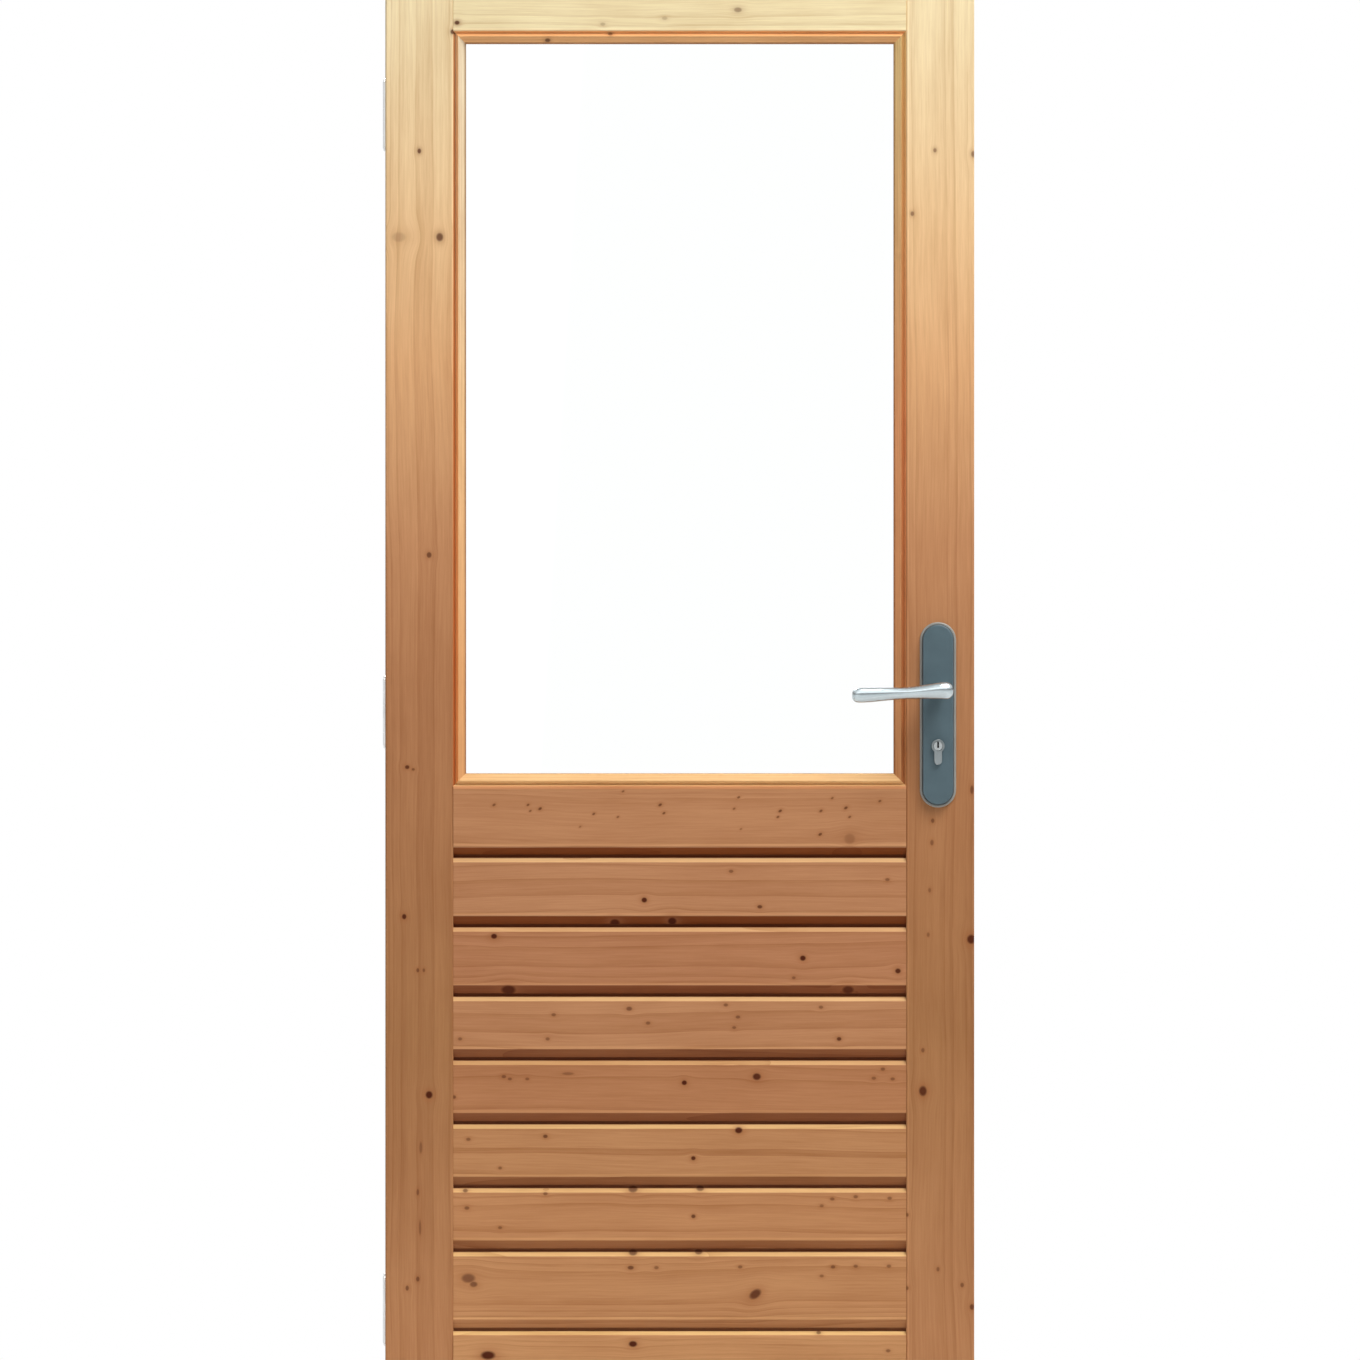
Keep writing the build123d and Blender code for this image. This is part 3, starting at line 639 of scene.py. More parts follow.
        off = sheet.math("SUBTRACT", bent, self.heart[0])
        down = sheet.math("SUBTRACT", deep, self.heart[1])
        radius = sheet.math("SQRT", sheet.math("MULTIPLY_ADD", off, off, sheet.math("MULTIPLY", down, down)))
        uneven_at = sheet.vector(sheet.math("MULTIPLY", radius, self.ring_fine), self.seed, self.ring_seed)
        drift = sheet.math("MULTIPLY", sheet.noise(uneven_at, 1.0, 1.0), self.ring_drift)
        turns = sheet.math("ADD", sheet.math("DIVIDE", radius, self.ring), drift)
        late = sheet.math("POWER", sheet.math("FRACT", turns), self.late_power)
        streak = self.grain_noise(sheet, (along, bent, deep), self.streak_fine, self.seed, 4.0, 0.6)
        fibre = self.grain_noise(sheet, (along, bent, deep), self.fibre_fine, self.seed, 2.0)
        mottle = self.grain_noise(sheet, (along, across), self.mottle_fine, self.seed + self.mottle_seed, 2.0)
        return Fibres(across, up_leaf, deep, late, streak, fibre, mottle, core, halo)

    @staticmethod
    def grain_noise(
        sheet: NodeSheet,
        places: tuple[Socket, ...],
        fine: tuple[float, ...],
        seed: float,
        detail: float,
        rough: float = 0.55,
    ) -> Socket:
        """Noise that is drawn out along the grain.

        Args:
            sheet: nodes of the material.
            places: millimetres along, across and, if it changes with depth, behind the leaf's middle.
            fine: how fine it is each way.
            seed: where in the noise this piece lies.
            detail: octaves.
            rough: weight of the finer octaves.

        Returns:
            The noise value.
        """
        sides = [sheet.math("MULTIPLY", place, share) for place, share in zip(places[:2], fine)]
        third = sheet.math("MULTIPLY_ADD", places[2], fine[2], seed) if len(places) > 2 else seed
        return sheet.noise(sheet.vector(*sides, third), 1.0, detail, rough)

    def darkness(self, sheet: NodeSheet, wood: Fibres) -> Socket:
        """How dark the grain is, 0 to 1, apart from knots and stain.

        Args:
            sheet: nodes of the material.
            wood: the patterns.

        Returns:
            The share of the dark tone.
        """
        share = sheet.math("MULTIPLY", wood.late, self.ring_share)
        for pattern, weight in (
            (wood.streak, self.streak_share),
            (wood.fibre, self.fibre_share),
            (wood.mottle, self.mottle_share),
        ):
            share = sheet.math("MULTIPLY_ADD", sheet.math("SUBTRACT", pattern, 0.5), weight, share)
        return sheet.span(share, *self.share_range, 0.0, 1.0)

    def paint(self, sheet: NodeSheet, wood: Fibres, share: Socket) -> Socket:
        """Colours the grain, then lays painted shade and light in the joints, tinted strips along edges and
        slopes, and knots over it.

        Args:
            sheet: nodes of the material.
            wood: the patterns.
            share: share of the dark tone.

        Returns:
            The colour.
        """
        # Tone by height; on the stiles and beads this ramp is painted light, paler towards the top.
        stops = tuple((height / LEAF_HEIGHT, tone(*colour)) for height, colour in self.tones_and_painted_light)
        base = sheet.ramp(sheet.math("DIVIDE", wood.up_leaf, LEAF_HEIGHT), stops)
        dark = sheet.blend(1.0, base, self.dark_tint, "MULTIPLY")
        pale = sheet.blend(1.0, base, self.pale_tint, "MULTIPLY")
        colour = sheet.blend(share, pale, dark)
        if self.joint is not None:
            colour = self.joint.lay(sheet, colour, wood.up_leaf, wood.deep)
        for band in self.bands:
            colour = band.lay(sheet, colour, wood.across, wood.deep)
        ring = sheet.math("MULTIPLY", wood.halo, self.halo_share)
        colour = sheet.blend(ring, colour, tone(*self.halo_tone))
        return sheet.blend(wood.core, colour, tone(*self.core_tone))


@dataclass(frozen=True)
class MetalFinish:
    """Satin metal with a fine brush and soft tone drift.

    Where a rim is given, the metal has that tone next to the wood and, just over it, the foot's tone as
    painted shade at the foot of the cover. Where a hollow is given, painted shade darkens it nearer to the
    leaf than that depth.
    """

    name: str
    colour: Rgb
    rough: float
    brush: tuple[float, float, float] = (3.0, 3.0, 0.25)
    drift: float = 0.10
    metallic: float = 1.0
    rim: Rgb | None = None
    rim_depth: float = 3.0
    rim_soft: float = 0.2
    # Painted shade at the foot of the plate's raised cover.
    foot: Rgb = (60, 76, 84)
    shade_foot_depth: float = 7.6
    shade_foot_soft: float = 0.8
    relief: float = 0.06
    relief_depth: float = 0.0001
    hollow: float | None = None
    hollow_soft: float = 0.3
    # Painted shade in a hollow such as a keyway.
    hollow_shade_tone: Rgb = (24, 27, 29)
    cloud_fine: float = 42.0
    rough_less: float = 0.05
    rough_more: float = 0.07

    def material(self) -> bpy.types.Material:
        """Builds the material.

        Returns:
            The finished material.
        """
        material, sheet = fresh_material(self.name)
        place = sheet.place()
        brush_at = sheet.stretched(place, [PER_METRE * share for share in self.brush])
        brushed = sheet.noise(brush_at, 1.0, 3.0, 0.6)
        cloud = sheet.noise(sheet.stretched(place, [self.cloud_fine] * 3), 1.0, 2.0)
        base: Feed = tone(*self.colour)
        deep = sheet.math("MULTIPLY", sheet.math("ABSOLUTE", place[1]), PER_METRE)
        if self.hollow is not None:
            # Painted shade in the hollow, nearer the leaf than the given depth.
            inside = sheet.span(deep, self.hollow - self.hollow_soft, self.hollow, 1.0, 0.0)
            base = sheet.blend(inside, base, tone(*self.hollow_shade_tone))
        if self.rim is not None:
            # Painted shade at the foot of the cover, then the rim's own tone next to the wood.
            base = self.nearer(sheet, base, deep, self.foot, self.shade_foot_depth, self.shade_foot_soft)
            base = self.nearer(sheet, base, deep, self.rim, self.rim_depth, self.rim_soft)
        shade = sheet.span(cloud, 0.3, 0.7, 1.0 - self.drift, 1.0 + self.drift / 2)
        base = sheet.blend(1.0, base, sheet.vector(shade, shade, shade), "MULTIPLY")
        low, high = self.rough - self.rough_less, self.rough + self.rough_more
        sheet.surface(
            Base_Color=base,
            Metallic=self.metallic,
            Roughness=sheet.span(brushed, 0.25, 0.75, low, high),
            Normal=sheet.bump(brushed, self.relief, self.relief_depth),
        )
        return material

    @staticmethod
    def nearer(sheet: NodeSheet, base: Feed, deep: Socket, colour: Rgb, depth: float, soft: float) -> Socket:
        """Changes the tone next to the leaf's face.

        Args:
            sheet: nodes of the material.
            base: tone so far.
            deep: millimetres from the leaf's middle, on either side.
            colour: the other tone.
            depth: how far from the leaf's face it reaches.
            soft: half the width of the change.

        Returns:
            The tone.
        """
        edge = BACK + depth
        return sheet.blend(sheet.span(deep, edge - soft, edge + soft, 1.0, 0.0), base, tone(*colour))


@dataclass(frozen=True)
class GlassFinish:
    """Clear float glass with a trace of film."""

    name: str = "clear_glass"
    tint: Tone = (0.992, 1.0, 0.996)
    film_fine: tuple[float, float, float] = (6.0, 0.0, 2.5)
    film_rough: float = 0.003
    index: float = 1.46

    def material(self) -> bpy.types.Material:
        """Builds the material.

        Returns:
            The finished material.
        """
        material, sheet = fresh_material(self.name)
        film = sheet.noise(sheet.stretched(sheet.place(), self.film_fine), 1.0, 2.0)
        sheet.surface(
            Base_Color=self.tint,
            Roughness=sheet.span(film, 0.35, 0.75, 0.0, self.film_rough),
            Transmission_Weight=1.0,
            IOR=self.index,
        )
        return material


@dataclass(frozen=True)
class SealFinish:
    """Dull glazing sealant or nylon, with a fine dark grain."""

    name: str
    colour: Rgb
    rough: float = 0.62
    rough_swing: float = 0.08
    fine: float = 260.0
    dirt: Tone = (0.02, 0.015, 0.012)
    dirt_share: float = 0.35
    relief: tuple[float, float] = (0.12, 0.0002)

    def material(self) -> bpy.types.Material:
        """Builds the material.

        Returns:
            The finished material.
        """
        material, sheet = fresh_material(self.name)
        grain = sheet.noise(sheet.stretched(sheet.place(), [self.fine] * 3), 1.0, 3.0)
        dirt = sheet.span(grain, 0.3, 0.7, 0.0, self.dirt_share)
        low, high = self.rough - self.rough_swing, self.rough + self.rough_swing
        sheet.surface(
            Base_Color=sheet.blend(dirt, tone(*self.colour), self.dirt),
            Roughness=sheet.span(grain, 0.2, 0.8, low, high),
            Normal=sheet.bump(grain, *self.relief),
        )
        return material


class Bench:
    """Modelling by operators on one piece at a time."""

    @staticmethod
    def clear() -> None:
        """Leaves edit mode and deselects everything."""
        if bpy.context.object is not None and bpy.context.object.mode != "OBJECT":
            bpy.ops.object.mode_set(mode="OBJECT")
        bpy.ops.object.select_all(action="DESELECT")

    @staticmethod
    def take(name: str) -> bpy.types.Object:
        """Names the piece that an operator has just added.

        Args:
            name: its name.

        Returns:
            The piece.
        """
        piece = bpy.context.object
        piece.name = name
        piece.data.name = name
        return piece

    @staticmethod
    def hold(piece: bpy.types.Object) -> None:
        """Selects one piece alone and makes it active.

        Args:
            piece: the piece.
        """
        Bench.clear()
        piece.select_set(True)
        bpy.context.view_layer.objects.active = piece

    @staticmethod
    def pick_faces(
        piece: bpy.types.Object, direction: Vector, least: float = 0.9, both: bool = False
    ) -> None:
        """Selects the faces that look one way, and goes into face mode.

        Args:
            piece: the piece, in object mode.
            direction: the way they look.
            least: how nearly, as a cosine.
            both: whether faces that look the opposite way are selected too.
        """
        Bench.hold(piece)
        bpy.ops.object.mode_set(mode="EDIT")
        bpy.ops.mesh.select_mode(type="FACE")
        bpy.ops.mesh.select_all(action="DESELECT")
        bpy.ops.object.mode_set(mode="OBJECT")
        for face in piece.data.polygons:
            facing = face.normal.dot(direction)
            face.select = (abs(facing) if both else facing) > least
        bpy.ops.object.mode_set(mode="EDIT")

    @staticmethod
    def face_out() -> None:
        """Turns every face of the piece in edit mode outwards, and leaves edit mode."""
        bpy.ops.mesh.select_all(action="SELECT")
        bpy.ops.mesh.normals_make_consistent(inside=False)
        bpy.ops.object.mode_set(mode="OBJECT")

    @staticmethod
    def use(piece: bpy.types.Object, kind: str, **settings: object) -> None:
        """Adds one modifier and applies it.

        Args:
            piece: the piece.
            kind: Blender's name of the modifier type.
            settings: its settings.
        """
        Bench.hold(piece)
        modifier = piece.modifiers.new(kind.lower(), kind)
        for name, value in settings.items():
            setattr(modifier, name, value)
        bpy.ops.object.modifier_apply(modifier=modifier.name)

    @staticmethod
    def settle(piece: bpy.types.Object, smooth: float = 35.0) -> None:
        """Puts the piece's place into its mesh and smooths its shading by angle.

        Args:
            piece: the piece.
            smooth: widest angle that is shaded smooth, in degrees.
        """
        Bench.hold(piece)
        bpy.ops.object.transform_apply(location=True, rotation=True, scale=True)
        bpy.ops.object.shade_smooth_by_angle(angle=math.radians(smooth))
        Bench.clear()

    @staticmethod
    def copy(piece: bpy.types.Object, name: str, to: Vector, turn: Turn) -> bpy.types.Object:
        """Copies a piece with a mesh of its own to another place.

        Args:
            piece: the pattern, modelled round the origin and facing up.
            name: name of the copy.
            to: its place.
            turn: its turn about X, Y and Z in degrees, Z first.

        Returns:
            The copy, settled.
        """
        Bench.hold(piece)
        bpy.ops.object.duplicate(linked=False)
        twin = Bench.take(name)
        twin.location = to
        twin.rotation_mode = "ZYX"
        twin.rotation_euler = [math.radians(angle) for angle in turn]
        Bench.settle(twin)
        return twin


def fit_out(piece: bpy.types.Object, body: Body, material: bpy.types.Material) -> None:
    """Gives a new piece its body and its finish.

    Args:
        piece: the piece.
        body: what it moves with.
        material: its finish.
    """
    piece.data.materials.clear()
    piece.data.materials.append(material)
    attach(piece, body.value)
    log.info("piece %s rides on %s", piece.name, body.value)


def dress(node: str, material: bpy.types.Material) -> None:
    """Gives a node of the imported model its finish.

    Args:
        node: its name.
        material: its finish.
    """
    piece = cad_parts[node]
    piece.data.materials.clear()
    piece.data.materials.append(material)
    log.info("node %s wears %s", node, material.name)


# Stile tone by height: painted light, paler and creamier towards the head of the leaf, as if lit from above.
STILE_PAINTED_LIGHT_TONES: Stops = (
    (200.0, (181, 127, 84)),
    (600.0, (164, 114, 71)),
    (1000.0, (175, 121, 80)),
    (1250.0, (192, 137, 94)),
    (1490.0, (222, 171, 121)),
    (1660.0, (233, 193, 143)),
    (1965.0, (242, 222, 177)),
)


def flat(red: int, green: int, blue: int) -> Stops:
    """One tone over the whole height.

    Args:
        red: red, 0 to 255.
        green: green, 0 to 255.
        blue: blue, 0 to 255.

    Returns:
        The tone at foot and head of the leaf.
    """
    colour = (red, green, blue)
    return (0.0, colour), (LEAF_HEIGHT, colour)


def lip_highlight_over(joint: float) -> Band:
    """The painted highlight on the arris over the bevel of one joint."""
    start, end = LIP_HIGHLIGHT_REACH
    return Band(joint + start, joint + end, LIP_HIGHLIGHT_TINT)


@dataclass(frozen=True)
class BoardLook:
    """Tone, place of the rings' centre and knots of one board."""

    tone: Rgb
    heart: tuple[float, float]
    knots: tuple[Knot, ...]


@dataclass
class WoodenLeaf:
    """Stiles, rails, boards and beads."""

    stencil: KnotStencil = field(default_factory=KnotStencil)
    rail_change: float = 46.0
    board_ring: float = 5.4
    board_ring_share: float = 0.42
    board_seed: float = 11.0
    board_seed_step: float = 3.7
    bead_ring: float = 3.0
    bead_heart: float = 10.0

    def stile_finishes(self) -> dict[str, SpruceFinish]:
        """Finishes of the two stiles.

        Returns:
            Finishes by node name.
        """
        up = Grain.UPRIGHT
        # Painted highlight on the lock stile's arris by the glazing bead.
        arris_highlight = Band(690.3, 693.6, (1.17, 1.18, 1.2))
        return {
            "hinge_stile": SpruceFinish(
                "spruce_hinge_stile", up, 1.7, STILE_PAINTED_LIGHT_TONES, self.hinge_stile_knots(), (52.0, 62.0), 5.0
            ),
            "lock_stile": SpruceFinish(
                "spruce_lock_stile",
                up,
                9.3,
                STILE_PAINTED_LIGHT_TONES,
                self.lock_stile_knots(),
                (722.0, 58.0),
                5.2,
                bands=(arris_highlight,),
            ),
        }

    def rail_finishes(self) -> dict[str, SpruceFinish]:
        """Finishes of the three rails.

        Returns:
            Finishes by node name.
        """
        level = Grain.LEVEL
        top_joint, foot_joint = JOINT_HEIGHTS[0], JOINT_HEIGHTS[-1]
        return {
            "top_rail": SpruceFinish(
                "spruce_top_rail",
                level,
                4.1,
                # Pale cream tone: painted light from above, as at the head of the stiles.
                flat(240, 223, 177),
                self.top_rail_knots(),
                (1960.0, 60.0),
                # Painted highlight on the top rail's lower arris.
                bands=(Band(1925.2, 1928.4, (1.1, 1.08, 1.08)),),
            ),
            "middle_rail": SpruceFinish(
                "spruce_middle_rail",
                level,
                6.6,
                flat(186, 132, 91),
                self.middle_rail_knots(),
                (880.0, 40.0),
                # Painted shade on the slope under the rail.
                joint=PaintedJointShadeAndLight(top_joint + self.rail_change, BEVEL_PAINTED_SHADE[0], 0.0),
                # The first strip is a painted highlight on the arris over the top joint's bevel; the second
                # is painted light on the rail's upper arris, which lies in shade.
                bands=(lip_highlight_over(top_joint), Band(921.0, 925.0, (1.26, 1.2, 1.12))),
            ),
            "bottom_rail": SpruceFinish(
                "spruce_bottom_rail",
                level,
                2.9,
                flat(197, 144, 96),
                self.bottom_rail_knots(),
                (110.0, 52.0),
                6.0,
                # Painted shade on the ledge in the lowest joint.
                joint=PaintedJointShadeAndLight(foot_joint / 2, 0.0, LEDGE_PAINTED_SHADE[-1]),
            ),
        }

    @staticmethod
    def hinge_stile_knots() -> tuple[Knot, ...]:
        """Knots of the hinge stile."""
        return (
            Knot(89, 1924, 2.6, 1.2, 0.8),
            Knot(45, 1766, 2.4, 1.4, 0.8),
            Knot(72, 1652, 4.6, 1.2, 0.75),
            Knot(18, 1652, 9.0, 0.7, 0.18),
            Knot(58, 1231, 3.2, 1.2, 0.7),
            Knot(29, 950, 3.0, 0.9, 0.8),
            Knot(37, 947, 2.2, 0.8, 0.55),
            Knot(25, 752, 3.0, 1.2, 0.9),
            Knot(43, 681, 2.0, 1.4, 0.6),
            Knot(51, 681, 1.8, 1.4, 0.5),
            Knot(58, 516, 4.6, 1.1, 0.95),
            Knot(47, 446, 2.0, 4.0, 0.4),
            Knot(43, 387, 1.8, 2.4, 0.5),
            Knot(46, 340, 1.7, 6.0, 0.4),
            Knot(43, 272, 2.3, 1.5, 0.6),
            Knot(29, 260, 2.3, 1.5, 0.6),
        )

    @staticmethod
    def lock_stile_knots() -> tuple[Knot, ...]:
        """Knots of the lock stile."""
        return (
            Knot(728, 1767, 2.2, 1.3, 0.5),
            Knot(698, 1683, 2.4, 1.3, 0.55),
            Knot(779, 1762, 3.0, 1.4, 0.55),
            Knot(725, 879, 2.4, 1.3, 0.55),
            Knot(724, 850, 2.4, 1.6, 0.5),
            Knot(721, 787, 2.0, 1.6, 0.4),
            Knot(719, 728, 2.0, 1.6, 0.4),
            Knot(776, 722, 5.6, 1.1, 0.9),
            Knot(777, 920, 2.4, 2.4, 0.6),
            Knot(712, 521, 5.2, 1.3, 0.85),
            Knot(712, 575, 2.4, 1.3, 0.5),
            Knot(691, 357, 2.2, 1.2, 0.55),
            Knot(691, 260, 2.2, 1.2, 0.55),
            fleck(732, 285),
            Knot(764, 264, 2.4, 1.3, 0.55),
            Knot(777, 235, 3.0, 1.3, 0.7),
        )

    @staticmethod
    def top_rail_knots() -> tuple[Knot, ...]:
        """Knots of the top rail."""
        return (
            Knot(95, 1936, 2.8, 1.2, 0.85),
            Knot(288, 1934, 2.2, 1.5, 0.25),
            Knot(370, 1942, 2.4, 1.5, 0.22),
            Knot(467, 1953, 3.2, 1.6, 0.45),
        )

    @staticmethod
    def middle_rail_knots() -> tuple[Knot, ...]:
        """Flecks of the middle rail."""
        places = (
            (144, 900, 2.4, 0.6), (189, 900, 2.2, 0.6), (192, 892, 2.0, 0.55), (205, 895, 2.6, 0.7),
            (276, 888, 2.2, 0.6), (308, 884, 2.0, 0.5), (315, 918, 2.0, 0.5), (258, 871, 1.8, 0.4),
            (364, 900, 2.6, 0.7), (369, 889, 2.2, 0.65), (468, 910, 2.2, 0.6), (462, 895, 2.0, 0.5),
            (523, 892, 2.6, 0.7), (520, 884, 2.2, 0.6), (577, 892, 2.4, 0.6), (610, 896, 2.6, 0.7),
            (615, 884, 2.2, 0.55), (576, 861, 2.6, 0.7), (471, 868, 1.8, 0.4), (655, 905, 2.2, 0.55),
            (592, 909, 2.0, 0.5),
        )
        shrink, stretch, slope = 0.72, 1.3, 0.3
        flecks = (Knot(x, z, size * shrink, stretch, dark, slope) for x, z, size, dark in places)
        stain = Knot(615, 855, 7.0, 1.0, 0.25)
        return (*flecks, stain)

    @staticmethod
    def bottom_rail_knots() -> tuple[Knot, ...]:
        """Knots of the bottom rail."""
        return (
            Knot(136, 171, 5.6, 1.7, 0.95),
            Knot(328, 186, 4.0, 1.4, 0.95),
            fleck(574, 201, 0.6),
            fleck(666, 177),
            Knot(452, 88, 4.2, 1.4, 0.8),
            Knot(230, 60, 2.6, 1.4, 0.6),
        )

    def board_finishes(self) -> dict[str, SpruceFinish]:
        """Finishes of the seven boards.

        Returns:
            Finishes by node name.
        """
        boards = (
            BoardLook(
                (184, 130, 90),
                (788.0, 30.0),
                (
                    Knot(343, 774, 3.4, 1.1, 0.95), fleck(458, 812),
                    fleck(665, 801), Knot(496, 765, 2.4, 1.4, 0.75),
                    Knot(304, 744, 4.6, 1.4, 0.9), Knot(380, 746, 4.8, 1.2, 0.95),
                ),
            ),
            BoardLook(
                (180, 124, 85),
                (700.0, 26.0),
                (
                    Knot(144, 726, 3.4, 1.2, 0.95), Knot(553, 697, 3.6, 1.1, 0.95),
                    Knot(679, 680, 3.4, 1.1, 0.9), Knot(541, 671, 2.0, 1.3, 0.5),
                    Knot(163, 655, 6.0, 1.6, 0.85), Knot(613, 655, 5.0, 1.5, 0.8),
                ),
            ),
            BoardLook(
                (185, 131, 90),
                (612.0, 60.0),
                (
                    Knot(323, 630, 2.8, 1.4, 0.6), fleck(223, 622),
                    fleck(348, 611), Knot(99, 590, 2.2, 1.3, 0.5),
                    Knot(215, 590, 2.2, 1.3, 0.5), fleck(451, 635),
                    fleck(577, 632), fleck(467, 619, 0.55),
                    Knot(462, 605, 2.0, 1.4, 0.5), Knot(601, 590, 2.6, 1.2, 0.8),
                ),
            ),
            BoardLook(
                (178, 122, 81),
                (515.0, 34.0),
                (
                    fleck(157, 540, 0.55), Knot(165, 537, 2.0, 1.4, 0.5),
                    Knot(242, 544, 2.0, 4.0, 0.4), Knot(188, 537, 2.0, 1.4, 0.5),
                    Knot(91, 513, 2.4, 1.2, 0.6), Knot(396, 532, 3.2, 1.1, 0.95),
                    Knot(492, 540, 4.6, 1.2, 0.9), fleck(659, 550),
                    fleck(647, 538), fleck(672, 537),
                ),
            ),
            BoardLook(
                (186, 133, 88),
                (440.0, 55.0),
                (
                    Knot(212, 461, 2.4, 1.3, 0.7), fleck(110, 457),
                    Knot(152, 419, 2.0, 1.3, 0.5), Knot(468, 469, 4.2, 1.2, 0.95),
                    Knot(408, 432, 2.8, 1.1, 0.9),
                ),
            ),
            BoardLook(
                (188, 133, 88),
                (352.0, 30.0),
                (
                    Knot(106, 389, 2.4, 1.4, 0.6), Knot(108, 366, 2.4, 1.4, 0.55),
                    fleck(212, 385), Knot(152, 340, 2.0, 1.4, 0.5),
                    Knot(408, 355, 2.6, 1.1, 0.75), fleck(592, 378),
                    fleck(623, 381), fleck(668, 379),
                    Knot(578, 369, 2.0, 1.4, 0.45), Knot(328, 391, 4.4, 1.4, 0.7),
                    Knot(417, 392, 3.6, 1.4, 0.65),
                ),
            ),
            BoardLook(
                (191, 137, 91),
                (262.0, 24.0),
                (
                    Knot(110, 273, 6.0, 1.5, 0.6), Knot(117, 265, 3.6, 1.4, 0.6),
                    Knot(325, 287, 2.6, 1.6, 0.7), fleck(359, 287),
                    Knot(490, 252, 6.2, 1.25, 0.8, 0.35), fleck(593, 288, 0.55),
                    fleck(623, 289), fleck(667, 289),
                    Knot(578, 276, 2.0, 1.4, 0.45), fleck(470, 288),
                    Knot(328, 307, 4.0, 1.4, 0.7), Knot(415, 308, 3.6, 1.4, 0.65),
                ),
            ),
        )
        made: dict[str, SpruceFinish] = {}
        for number, board in enumerate(boards, start=1):
            over, under = JOINT_HEIGHTS[number - 1], JOINT_HEIGHTS[number]
            made[f"board_{number}"] = SpruceFinish(
                f"spruce_board_{number}",
                Grain.LEVEL,
                self.board_seed + self.board_seed_step * number,
                flat(*board.tone),
                board.knots,
                board.heart,
                self.board_ring,
                self.board_ring_share,
                # Painted shade in the board's joints and painted light on its upward slope.
                PaintedJointShadeAndLight((over + under) / 2, BEVEL_PAINTED_SHADE[number], LEDGE_PAINTED_SHADE[number - 1]),
                # Painted highlight on the arris over the lower joint's bevel.
                (lip_highlight_over(under),),
            )
        return made

    def bead_finishes(self) -> dict[str, SpruceFinish]:
        """Finishes of the four glazing beads.

        Returns:
            Finishes by node name.
        """
        up, level = Grain.UPRIGHT, Grain.LEVEL
        # Bead tone by height and side is painted light: the lit copy for the hinge bead, which faces the
        # lamp, the shaded copy made for the lock bead, which faces away, and flat copies for the top and
        # bottom beads; paler towards the top.
        lit: Stops = (
            (940.0, (212, 156, 104)),
            (1072.0, (221, 165, 112)),
            (1397.0, (226, 184, 134)),
            (1925.0, (222, 206, 174)),
        )
        shaded: Stops = (
            (940.0, (214, 150, 98)),
            (1397.0, (248, 173, 118)),
            (1925.0, (255, 222, 154)),
        )
        corner_knot = (Knot(91, 1924, 2.6, 1.2, 0.8),)
        flecks = (Knot(215, 1913, 2.4, 1.5, 0.7), Knot(298, 1921, 2.0, 1.5, 0.6))
        # The first tint paints shade in the hinge bead's groove by the stile, the second paints light on its
        # inner slope, which lies in shade, and the third darkens the strip along the glass.
        quirk_shade, slope, nose = (0.62, 0.32, 0.17), (1.5, 1.1, 0.8), (0.58, 0.48, 0.41)
        hinge_bands = (Band(89.5, 92.7, quirk_shade), Band(93.4, 96.6, slope), Band(104.9, 107.5, nose))
        # The lock bead's first strip is painted shade on its slope by the stile; the top bead's first strip
        # is painted shade under the top rail's edge.
        lock_bands = (Band(683.2, 687.6, (0.50, 0.40, 0.33)), Band(672.5, 675.2, nose))
        top_bands = (Band(1918.6, 1922.4, (0.86, 0.82, 0.80)), Band(1907.5, 1910.2, nose))
        beads = (
            ("hinge_side_bead", "spruce_hinge_bead", up, 3.3, lit, corner_knot, 98.0, hinge_bands),
            ("lock_side_bead", "spruce_lock_bead", up, 5.9, shaded, (), 682.0, lock_bands),
            ("top_bead", "spruce_top_bead", level, 8.2, flat(248, 189, 128), flecks, 1917.0, top_bands),
            ("bottom_bead", "spruce_bottom_bead", level, 7.4, flat(232, 186, 128), (), 933.0, ()),
        )
        return {
            node: SpruceFinish(
                name, grain, seed, tones_and_painted_light, knots, (heart, self.bead_heart), self.bead_ring, bands=bands
            )
            for node, name, grain, seed, tones_and_painted_light, knots, heart, bands in beads
        }

    def finish(self) -> None:
        """Dresses every wooden node."""
        woods = {
            **self.stile_finishes(),
            **self.rail_finishes(),
            **self.board_finishes(),
            **self.bead_finishes(),
        }
        for node, wood in woods.items():
            dress(node, wood.material(self.stencil))


